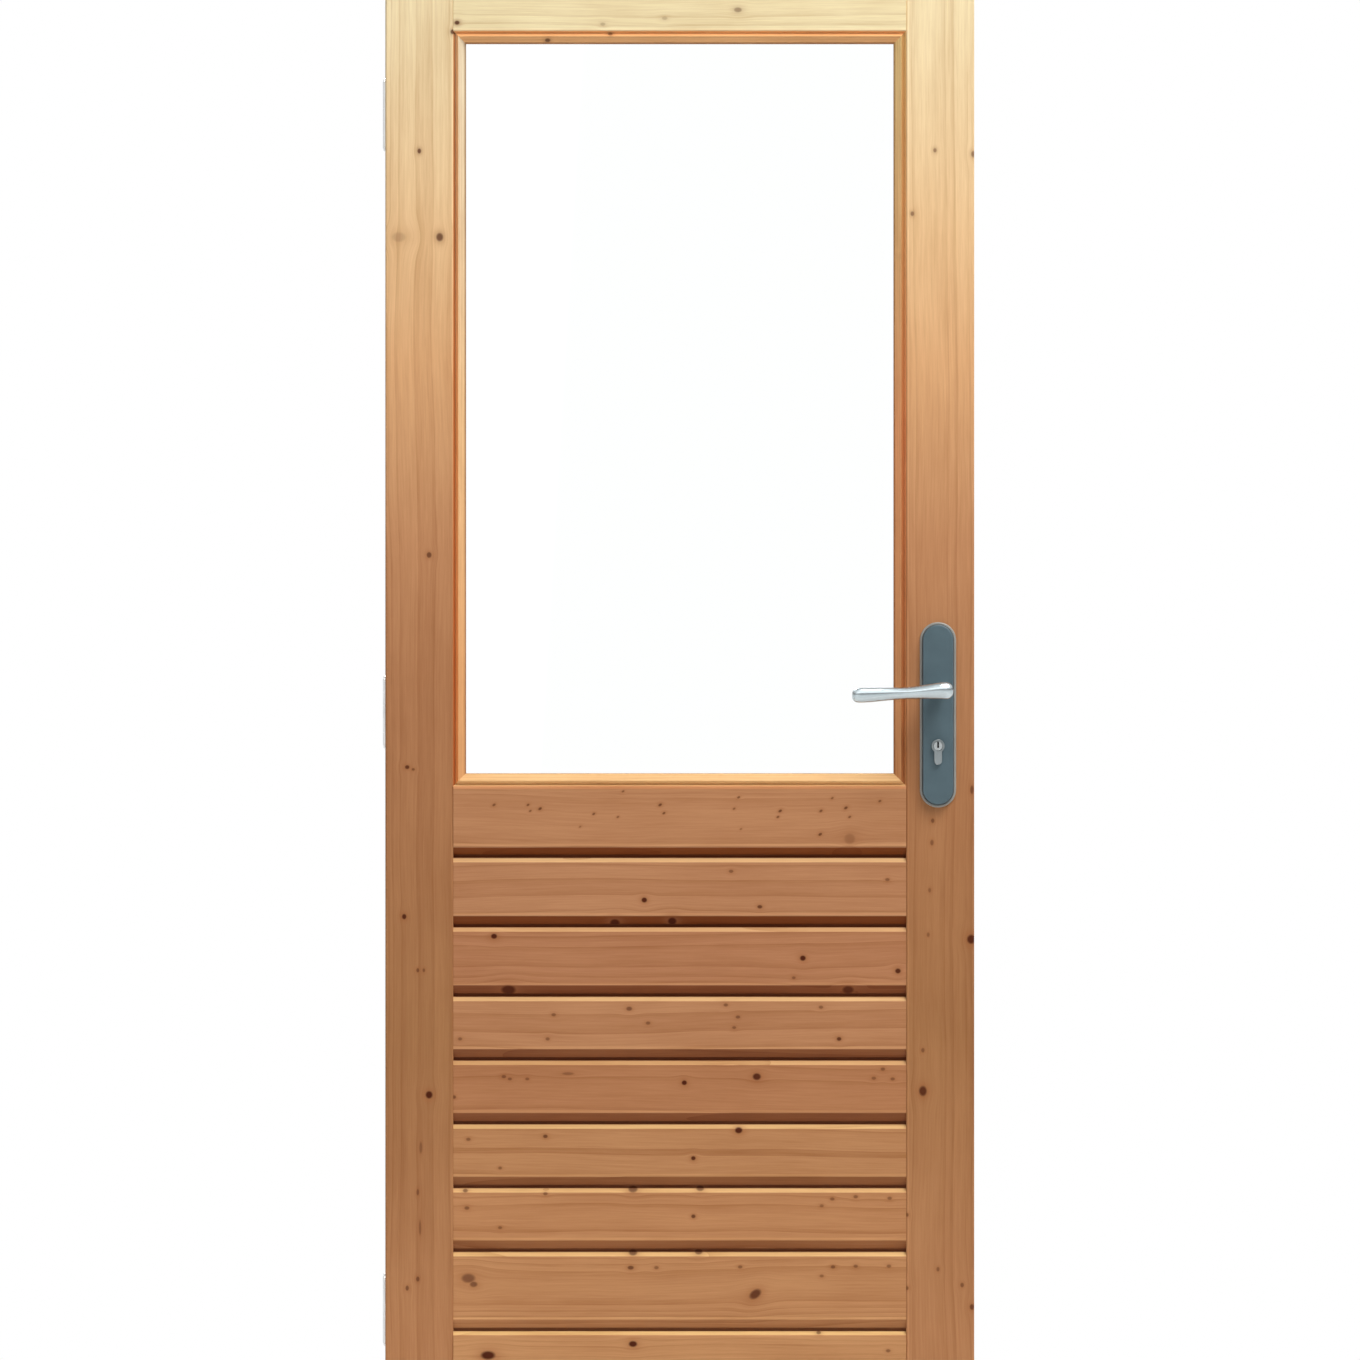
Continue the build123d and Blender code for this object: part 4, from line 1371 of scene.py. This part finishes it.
@dataclass
class Glazing:
    """Glass pane and the line of sealant on both sides of it."""

    sight_left: float = 106.5
    sight_right: float = 673.5
    sight_low: float = 941.5
    sight_high: float = 1908.5
    glass_front: float = -5.0
    glass_back: float = 0.0
    seal_width: float = 0.3
    seal_thick: float = 1.4
    seal_bevel: float = 0.5

    def build_seal(self, name: str, side: Side) -> bpy.types.Object:
        """Models the sealant as a thin frame that lies on the glass.

        Args:
            name: its name.
            side: which side of the glass.

        Returns:
            The finished piece.
        """
        glass = self.glass_front if side is Side.OUTSIDE else self.glass_back
        width = (self.sight_right - self.sight_left) * MM
        height = (self.sight_high - self.sight_low) * MM
        centre = spot((self.sight_left + self.sight_right) / 2, glass, (self.sight_low + self.sight_high) / 2)
        Bench.clear()
        bpy.ops.mesh.primitive_plane_add(size=1.0, location=centre, rotation=(math.radians(90), 0, 0))
        seal = Bench.take(name)
        seal.scale = (width, height, 1.0)
        bpy.ops.object.transform_apply(location=False, rotation=True, scale=True)
        bpy.ops.object.mode_set(mode="EDIT")
        bpy.ops.mesh.select_all(action="SELECT")
        bpy.ops.mesh.inset(thickness=self.seal_width * MM, depth=0.0)
        bpy.ops.mesh.delete(type="FACE")
        bpy.ops.mesh.select_all(action="SELECT")
        lift = (0.0, side.value * self.seal_thick * MM, 0.0)
        bpy.ops.mesh.extrude_region_move(TRANSFORM_OT_translate={"value": lift})
        Bench.face_out()
        Bench.use(seal, "BEVEL", width=self.seal_bevel * MM, segments=3, limit_method="ANGLE")
        Bench.settle(seal)
        return seal

    def finish(self) -> None:
        """Dresses the pane and adds the sealant."""
        dress("glass_pane", GlassFinish().material())
        sealant = SealFinish("brown_sealant", (124, 80, 50)).material()
        for name, side in (("outer_glazing_seal", Side.OUTSIDE), ("inner_glazing_seal", Side.INSIDE)):
            fit_out(self.build_seal(name, side), Body.LEAF, sealant)


@dataclass
class ScrewPattern:
    """Countersunk screw head with a cross recess, modelled once and copied."""

    radius: float = 4.45
    height: float = 1.8
    recess: float = 2.6
    arm: float = 1.0
    recess_depth: float = 1.0
    sides: int = 28
    shank_share: float = 0.58
    rim: float = 0.35
    rim_rise: float = 0.12
    smooth: float = 25.0

    def build(self, name: str) -> bpy.types.Object:
        """Models the head facing up, with its rim at the origin's height.

        Args:
            name: name of the pattern.

        Returns:
            The pattern piece.
        """
        foot = (0.0, 0.0, -self.height * MM)
        Bench.clear()
        bpy.ops.mesh.primitive_cylinder_add(
            vertices=self.sides,
            radius=self.radius * MM,
            depth=self.height * MM,
            location=(0, 0, -self.height * MM / 2),
        )
        head = Bench.take(name)
        Bench.settle(head)
        Bench.pick_faces(head, Vector((0, 0, -1)))
        bpy.ops.transform.resize(value=(self.shank_share, self.shank_share, 1.0), center_override=foot)
        bpy.ops.object.mode_set(mode="OBJECT")
        Bench.pick_faces(head, Vector((0, 0, 1)))
        bpy.ops.mesh.inset(thickness=self.rim * MM, depth=self.rim_rise * MM)
        bpy.ops.object.mode_set(mode="OBJECT")
        for turn in (0.0, 90.0):
            Bench.clear()
            bpy.ops.mesh.primitive_cube_add(size=1.0, location=(0, 0, 0), rotation=(0, 0, math.radians(turn)))
            cutter = Bench.take("cross_cutter")
            cutter.scale = (self.recess * 2 * MM, self.arm * MM, self.recess_depth * 2 * MM)
            bpy.ops.object.transform_apply(location=True, rotation=True, scale=True)
            Bench.use(head, "BOOLEAN", operation="DIFFERENCE", object=cutter, solver="EXACT")
            bpy.data.objects.remove(cutter)
        Bench.settle(head, self.smooth)
        return head

    def set_out(
        self,
        pattern: bpy.types.Object,
        places: dict[str, tuple[Vector, Turn]],
        body: Body,
        material: bpy.types.Material,
    ) -> None:
        """Copies the head to its places.

        Args:
            pattern: the pattern piece.
            places: place and turn of each copy by name.
            body: what the screws move with.
            material: their finish.
        """
        for name, (place, turn) in places.items():
            fit_out(Bench.copy(pattern, name, place, turn), body, material)


@dataclass
class HingeSet:
    """Three butt hinges and their screws."""

    heights: dict[str, float] = field(
        default_factory=lambda: {"bottom": 230.0, "middle": 1022.5, "top": 1815.0}
    )
    hole_depths: tuple[float, float] = (-3.0, 11.0)
    hole_rise: float = 30.0
    frame_face: float = 1.0
    door_face: float = 1.8
    screw_sink: float = 0.1
    screw_turn: float = 17.0

    def finish(self, head: bpy.types.Object, screws: ScrewPattern) -> None:
        """Dresses the hinges and sets their screws.

        Args:
            head: the screw pattern.
            screws: the maker of its copies.
        """
        steel = MetalFinish("hinge_steel", (234, 236, 236), 0.32, (2.0, 2.0, 0.3)).material()
        zinc = MetalFinish("screw_zinc", (186, 186, 180), 0.3, (2.0, 2.0, 2.0)).material()
        frame_x = self.frame_face - self.screw_sink
        door_x = self.door_face + self.screw_sink
        for place, height in self.heights.items():
            for part in ("frame_leaf", "door_leaf", "pin"):
                dress(f"{place}_hinge_{part}", steel)
            levels = (height - self.hole_rise, height + self.hole_rise)
            holes = [(depth, level) for depth in self.hole_depths for level in levels]
            frame_side: dict[str, tuple[Vector, Turn]] = {}
            door_side: dict[str, tuple[Vector, Turn]] = {}
            for count, (depth, level) in enumerate(holes, start=1):
                turn = self.screw_turn * count
                frame_side[f"{place}_frame_screw_{count}"] = spot(frame_x, depth, level), (0.0, 90.0, turn)
                door_side[f"{place}_door_screw_{count}"] = spot(door_x, depth, level), (0.0, -90.0, turn)
            screws.set_out(head, frame_side, Body.FRAME, zinc)
            screws.set_out(head, door_side, Body.LEAF, zinc)


@dataclass
class EdgeLock:
    """Mortice lock with its forend, bolts and screws in the edge of the lock stile."""

    edge: float = LEAF_WIDTH
    screw_heights: tuple[float, float] = (906.5, 1125.5)
    screw_sink: float = 0.2
    screw_turn: float = 31.0

    def finish(self, head: bpy.types.Object, screws: ScrewPattern) -> None:
        """Dresses the lock and sets its screws.

        Args:
            head: the screw pattern.
            screws: the maker of its copies.
        """
        steel = MetalFinish("forend_steel", (168, 170, 172), 0.36, (2.0, 2.0, 0.2)).material()
        nickel = MetalFinish("bolt_nickel", (184, 178, 160), 0.28, (2.0, 0.4, 2.0)).material()
        dress("mortice_lock", steel)
        dress("latch_bolt", nickel)
        dress("dead_bolt", nickel)
        places = {
            f"forend_screw_{number}": (
                spot(self.edge - self.screw_sink, 0.0, height),
                (0.0, 90.0, self.screw_turn * number),
            )
            for number, height in enumerate(self.screw_heights, start=1)
        }
        screws.set_out(head, places, Body.LEAF, steel)


@dataclass
class LeverPair:
    """Satin levers: an oval arm drawn out from a round elbow to a round tip, on a stem."""

    across: float
    lever_height: float
    plate_face: float
    stand_off: float = 38.0
    start: float = -20.0
    pitch: float = 19.0
    elbow_round: float = 11.0
    tip_round: float = 7.5
    end_turns: tuple[float, ...] = (82.0, 58.0, 30.0, 0.0)
    end_flat: float = 0.9
    stem: float = 9.5
    stem_gap: float = 1.0
    neck: float = 8.0
    neck_reach: float = 6.0
    sides: int = 32
    post_sides: int = 64
    smooth: float = 50.0
    ovals: tuple[tuple[float, float, float, float], ...] = (
        (1.2, 24.2, 19.2, 0.0),
        (1.2, 24.2, 19.4, 0.0),
        (-0.4, 19.4, 17.2, 0.4),
        (-2.0, 15.4, 14.2, 1.2),
        (-2.6, 15.8, 12.6, 1.8),
        (-3.7, 18.0, 11.8, 2.0),
        (-4.7, 19.6, 11.2, 1.6),
        (-5.2, 19.8, 10.8, 1.0),
    )

    def oval(self, reach: float, corner: float, drawn: float) -> tuple[Vector, float, float]:
        """One ring of the arm.

        Args:
            reach: millimetres from the spindle towards the tip.
            corner: radius of the round end that the ring is part of, in millimetres.
            drawn: how far the ring is drawn in there, 0 to 1.

        Returns:
            Its middle in metres, and its height and thickness in millimetres.
        """
        along = (reach - self.start) / self.pitch
        first = min(int(along), len(self.ovals) - 2)
        share = along - first
        lift, height, thick, sag = (
            low + (high - low) * share for low, high in zip(self.ovals[first], self.ovals[first + 1])
        )
        middle = spot(self.across - reach, sag - self.plate_face - self.stand_off, self.lever_height + lift)
        return middle, height - 2 * corner * drawn, thick * (1 - self.end_flat * drawn)

    def rings(self) -> list[tuple[Vector, float, float]]:
        """All rings from the elbow's end to the tip's end.

        Returns:
            Middle, height and thickness of each.
        """
        tip = self.start + self.pitch * (len(self.ovals) - 1)
        turns = [math.radians(angle) for angle in self.end_turns]
        bends = [(1 - math.sin(turn), 1 - math.cos(turn)) for turn in turns]
        elbow = [
            self.oval(self.start + self.elbow_round * inset, self.elbow_round, drawn)
            for inset, drawn in bends
        ]
        arm = [
            self.oval(self.start + self.pitch * number, 0.0, 0.0) for number in range(1, len(self.ovals) - 1)
        ]
        end = [
            self.oval(tip - self.tip_round * inset, self.tip_round, drawn) for inset, drawn in reversed(bends)
        ]
        return elbow + arm + end

    def build(self, name: str) -> bpy.types.Object:
        """Models the outer lever.

        Args:
            name: its name.

        Returns:
            The finished piece.
        """
        rings = self.rings()
        middle, height, thick = rings[0]
        Bench.clear()
        bpy.ops.mesh.primitive_circle_add(
            vertices=self.sides,
            radius=0.5,
            fill_type="NGON",
            location=middle,
            rotation=(0, math.radians(90), 0),
        )
        arm = Bench.take(name)
        arm.scale = (height * MM, thick * MM, 1.0)
        bpy.ops.object.transform_apply(location=True, rotation=True, scale=True)
        bpy.ops.object.mode_set(mode="EDIT")
        bpy.ops.mesh.select_all(action="SELECT")
        for next_middle, next_height, next_thick in rings[1:]:
            step = tuple(next_middle - middle)
            bpy.ops.mesh.extrude_region_move(TRANSFORM_OT_translate={"value": step})
            scale = (1.0, next_thick / thick, next_height / height)
            bpy.ops.transform.resize(value=scale, center_override=tuple(next_middle))
            middle, height, thick = next_middle, next_height, next_thick
        Bench.face_out()
        Bench.use(arm, "SUBSURF", levels=2, render_levels=2)
        face = self.plate_face
        for radius, near in ((self.stem, face + self.stem_gap), (self.neck, face - self.neck_reach)):
            Bench.clear()
            far = face + self.stand_off
            bpy.ops.mesh.primitive_cylinder_add(
                vertices=self.post_sides,
                radius=radius * MM,
                depth=(far - near) * MM,
                location=spot(self.across, -(near + far) / 2, self.lever_height),
                rotation=(math.radians(90), 0, 0),
            )
            post = Bench.take("lever_post")
            bpy.ops.object.transform_apply(location=True, rotation=True, scale=True)
            Bench.use(arm, "BOOLEAN", operation="UNION", object=post, solver="EXACT")
            bpy.data.objects.remove(post)
        Bench.settle(arm, self.smooth)
        return arm

    def mirrored(self, lever: bpy.types.Object, name: str) -> bpy.types.Object:
        """Copies the outer lever to the inner side.

        Args:
            lever: the outer lever.
            name: name of the copy.

        Returns:
            The inner lever.
        """
        Bench.hold(lever)
        bpy.ops.object.duplicate(linked=False)
        twin = Bench.take(name)
        twin.scale = (1.0, -1.0, 1.0)
        bpy.ops.object.transform_apply(location=True, rotation=True, scale=True)
        bpy.ops.object.mode_set(mode="EDIT")
        Bench.face_out()
        Bench.settle(twin, self.smooth)
        return twin


@dataclass
class HandleSet:
    """Plates, levers, spindle and euro cylinder, with collars and small screws."""

    across: float = 732.0
    lever_height: float = 1050.0
    plate_face: float = 30.0
    neck: float = 8.35
    collar_width: float = 1.5
    collar_thick: float = 0.8
    collar_gap: float = 0.05
    collar_sides: int = 48
    collar_bevel: float = 0.2
    grub_radius: float = 2.2
    grub_length: float = 0.7
    grub_out: float = 9.0
    grub_drop: float = 9.45
    grub_wall: float = 0.8
    grub_socket: float = 0.4
    grub_sides: int = 24
    grub_bevel: float = 0.12
    grub_smooth: float = 30.0
    plug_edge: float = 0.5
    key_plug_face: float = 35.0
    inner_plug_face: float = 33.0
    plate_screws: tuple[float, float] = (1124.0, 915.0)
    screw_sink: float = 0.1
    screw_turn: float = 23.0

    def build_collar(self, name: str, side: Side) -> bpy.types.Object:
        """Models the nylon collar between plate and lever.

        Args:
            name: its name.
            side: which face of the door.

        Returns:
            The finished piece.
        """
        out = self.plate_face + self.collar_thick / 2 + self.collar_gap
        Bench.clear()
        bpy.ops.mesh.primitive_cylinder_add(
            vertices=self.collar_sides,
            radius=(self.neck + self.collar_width) * MM,
            depth=self.collar_thick * MM,
            location=spot(self.across, side.value * out, self.lever_height),
            rotation=(math.radians(90), 0, 0),
            end_fill_type="NGON",
        )
        collar = Bench.take(name)
        bpy.ops.object.transform_apply(location=False, rotation=True, scale=True)
        Bench.pick_faces(collar, Vector((0, 1, 0)), both=True)
        bpy.ops.mesh.inset(thickness=self.collar_width * MM)
        bpy.ops.mesh.bridge_edge_loops()
        bpy.ops.object.mode_set(mode="OBJECT")
        Bench.use(collar, "BEVEL", width=self.collar_bevel * MM, segments=2, limit_method="ANGLE")
        Bench.settle(collar)
        return collar

    def build_grub(self, name: str, side: Side) -> bpy.types.Object:
        """Models the small socket screw under the lever's stem.

        Args:
            name: its name.
            side: which face of the door.

        Returns:
            The finished piece.
        """
        out = self.plate_face + self.grub_out
        Bench.clear()
        bpy.ops.mesh.primitive_cylinder_add(
            vertices=self.grub_sides,
            radius=self.grub_radius * MM,
            depth=self.grub_length * MM,
            location=spot(self.across, side.value * out, self.lever_height - self.grub_drop),
        )
        grub = Bench.take(name)
        Bench.settle(grub)
        Bench.pick_faces(grub, Vector((0, 0, -1)))
        bpy.ops.mesh.inset(thickness=self.grub_wall * MM)
        bpy.ops.mesh.extrude_region_move(TRANSFORM_OT_translate={"value": (0, 0, self.grub_socket * MM)})
        bpy.ops.object.mode_set(mode="OBJECT")
        Bench.use(grub, "BEVEL", width=self.grub_bevel * MM, segments=2, limit_method="ANGLE")
        Bench.settle(grub, self.grub_smooth)
        return grub

    def finish(self, head: bpy.types.Object, screws: ScrewPattern) -> None:
        """Dresses the handle set and adds its small pieces.

        Args:
            head: the screw pattern.
            screws: the maker of its copies.
        """
        even = (3.0, 3.0, 3.0)
        steel = MetalFinish("small_screw_steel", (150, 152, 154), 0.3, even).material()
        self.finish_levers(steel)
        self.finish_cylinder(even)
        self.finish_plates(head, screws, steel)

    def finish_plates(
        self, head: bpy.types.Object, screws: ScrewPattern, steel: bpy.types.Material
    ) -> None:
        """Dresses the plates and sets the through screws of the inner one.

        Args:
            head: the screw pattern.
            screws: the maker of its copies.
            steel: finish of the screws.
        """
        # The plate's cover takes painted shade at its foot from the finish's foot tone.
        plate = MetalFinish(
            "blue_grey_plate", (77, 97, 105), 0.46, (4.0, 4.0, 4.0), 0.08, 0.2, (150, 150, 144), 3.3
        ).material()
        dress("outer_plate", plate)
        dress("inner_plate", plate)
        out = self.plate_face - self.screw_sink
        places = {
            f"plate_screw_{number}": (spot(self.across, out, height), (-90.0, 0.0, self.screw_turn * number))
            for number, height in enumerate(self.plate_screws, start=1)
        }
        screws.set_out(head, places, Body.LEAF, steel)

    def finish_levers(self, steel: bpy.types.Material) -> None:
        """Builds both levers, their collars and their grub screws.

        Args:
            steel: finish of spindle and grub screws.
        """
        silver = MetalFinish(
            "lever_silver", (192, 203, 207), 0.23, (0.3, 3.0, 3.0), 0.05, relief=0.02
        ).material()
        nylon = SealFinish("grey_nylon", (70, 76, 80), 0.5).material()
        levers = LeverPair(self.across, self.lever_height, self.plate_face)
        outer_lever = levers.build("outer_lever_arm")
        inner_lever = levers.mirrored(outer_lever, "inner_lever_arm")
        for piece, node in ((outer_lever, "outer_lever"), (inner_lever, "inner_lever")):
            dress(node, silver)
            fit_out(piece, Body.LEVERS, silver)
            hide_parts(node)
        dress("spindle", steel)
        for word, side in (("outer", Side.OUTSIDE), ("inner", Side.INSIDE)):
            fit_out(self.build_collar(f"{word}_lever_collar", side), Body.LEAF, nylon)
            fit_out(self.build_grub(f"{word}_lever_grub_screw", side), Body.LEVERS, steel)

    def finish_cylinder(self, brush: tuple[float, float, float]) -> None:
        """Dresses the euro cylinder and its two plugs, with painted shade in their keyways.

        Args:
            brush: fineness of the brush.
        """
        dress("lock_cylinder", MetalFinish("cylinder_nickel", (150, 158, 160), 0.3, brush, 0.14).material())
        for node, face in (("key_plug", self.key_plug_face), ("inner_plug", self.inner_plug_face)):
            # Painted shade in each keyway, below the plug's face.
            hollow = face - self.plug_edge
            plug = MetalFinish(f"{node}_nickel", (188, 194, 195), 0.26, brush, 0.10, hollow=hollow)
            dress(node, plug.material())


@dataclass(frozen=True)
class SoftLamp:
    """One soft lamp, with its place in the door's millimetres, its size in metres and its power in watts."""

    name: str
    place: tuple[float, float, float]
    size: tuple[float, float]
    power: float

    def hang(self, aim: Vector) -> None:
        """Hangs the lamp.

        Args:
            aim: where it points, in metres.
        """
        light = bpy.data.lights.new(self.name, "AREA")
        light.shape = "RECTANGLE"
        light.size, light.size_y = self.size
        light.energy = self.power
        lamp = bpy.data.objects.new(self.name, light)
        lamp.location = spot(*self.place)
        lamp.rotation_euler = (aim - lamp.location).to_track_quat("-Z", "Y").to_euler()
        bpy.context.scene.collection.objects.link(lamp)


@dataclass
class Studio:
    """Floor, background, lamps and camera."""

    view_width: float = 1.8013
    view_distance: float = 25.0
    view_depth: float = 100.0
    view_centre: tuple[float, float] = (390.3, 1065.4)
    sensor: float = 36.0
    floor_gap: float = 8.0
    floor_centre: tuple[float, float] = (0.4, -1.1)
    floor_size: tuple[float, float] = (5.0, 4.0)
    floor_tones: tuple[Tone, Tone] = ((0.80, 0.79, 0.77), (0.86, 0.85, 0.84))
    floor_fine: float = 1.4
    floor_rough: float = 0.7
    ambient: float = 0.16
    far_wall: float = 0.8
    far_wall_low: tuple[float, float] = (0.05, 0.13)
    far_wall_high: tuple[float, float] = (0.25, 0.42)
    ceiling: float = 0.5
    ceiling_low: tuple[float, float] = (0.84, 0.96)
    lamp_aim: tuple[float, float, float] = (390.0, 0.0, 950.0)
    lamps: tuple[SoftLamp, ...] = (
        SoftLamp("key_lamp", (2900.0, -2700.0, 6300.0), (3.6, 3.6), 474.0),
        SoftLamp("fill_lamp", (-900.0, -3200.0, 1500.0), (2.4, 2.4), 5.0),
        SoftLamp("strip_lamp", (390.0, -3400.0, 3100.0), (3.0, 0.9), 10.0),
        SoftLamp("back_lamp", (-1500.0, 3600.0, 5200.0), (2.4, 2.4), 260.0),
    )

    def floor(self) -> None:
        """Lays a pale floor just under the leaf."""
        Bench.clear()
        place = (*self.floor_centre, (LEAF_FOOT - self.floor_gap) * MM)
        bpy.ops.mesh.primitive_plane_add(size=1.0, location=place)
        floor = Bench.take("studio_floor")
        floor.scale = (*self.floor_size, 1.0)
        Bench.settle(floor)
        material, sheet = fresh_material("pale_floor")
        x, y, _ = sheet.place()
        cloud = sheet.noise(sheet.vector(x, y, 0.0), self.floor_fine, 2.0)
        sheet.surface(Base_Color=sheet.blend(cloud, *self.floor_tones), Roughness=self.floor_rough)
        floor.data.materials.append(material)

    def world(self) -> None:
        """Sets a white background with soft light, and a dimmer wall and ceiling for metal to mirror."""
        world = bpy.data.worlds.new("studio_world")
        bpy.context.scene.world = world
        world.use_nodes = True
        sheet = NodeSheet(world.node_tree)
        path = sheet.add("ShaderNodeLightPath").outputs
        seen = sheet.math("MAXIMUM", path["Is Camera Ray"], path["Is Glossy Ray"])
        seen = sheet.math("MAXIMUM", seen, path["Is Transmission Ray"])
        way = sheet.add("ShaderNodeSeparateXYZ")
        sheet.feed(way.inputs[0], sheet.add("ShaderNodeTexCoord").outputs["Generated"])
        rise = way.outputs[2]
        wall_low = sheet.span(rise, *self.far_wall_low, 0.0, 1.0, True)
        wall_high = sheet.span(rise, *self.far_wall_high, 1.0, 0.0, True)
        wall = sheet.math("MULTIPLY", sheet.math("MULTIPLY", wall_low, wall_high), self.far_wall)
        over = sheet.span(rise, *self.ceiling_low, 0.0, self.ceiling, True)
        dim = sheet.math("MULTIPLY", sheet.math("MAXIMUM", wall, over), path["Is Glossy Ray"])
        strength = sheet.span(seen, 0.0, 1.0, self.ambient, 1.0)
        ground = sheet.add("ShaderNodeBackground")
        ground.inputs["Color"].default_value = (1.0, 1.0, 1.0, 1.0)
        sheet.feed(ground.inputs["Strength"], sheet.math("SUBTRACT", strength, dim))
        output = sheet.add("ShaderNodeOutputWorld")
        world.node_tree.links.new(ground.outputs[0], output.inputs["Surface"])

    def camera(self) -> None:
        """Sets the camera square to the leaf."""
        lens = bpy.data.cameras.new("view_camera")
        lens.sensor_fit = "HORIZONTAL"
        lens.sensor_width = self.sensor
        lens.lens = self.sensor * self.view_distance / self.view_width
        lens.clip_end = self.view_depth
        camera = bpy.data.objects.new("view_camera", lens)
        across, height = self.view_centre
        camera.location = spot(across, FACE, height) + Vector((0, -self.view_distance, 0))
        camera.rotation_euler = (math.radians(90), 0, 0)
        bpy.context.scene.collection.objects.link(camera)
        bpy.context.scene.camera = camera

    def set_up(self) -> None:
        """Builds the whole studio."""
        bpy.context.scene.view_settings.view_transform = "Standard"
        self.floor()
        self.world()
        aim = spot(*self.lamp_aim)
        for lamp in self.lamps:
            lamp.hang(aim)
        self.camera()


def main() -> None:
    """Dresses the model, adds the small pieces and sets up the studio."""
    logging.basicConfig(level=logging.INFO, format="%(name)s: %(message)s")
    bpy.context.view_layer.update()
    WoodenLeaf().finish()
    Glazing().finish()
    screws = ScrewPattern()
    head = screws.build("screw_pattern")
    HingeSet().finish(head, screws)
    EdgeLock().finish(head, screws)
    HandleSet().finish(head, screws)
    bpy.data.objects.remove(head)
    Studio().set_up()
    Bench.clear()


if __name__ == "__main__":
    main()
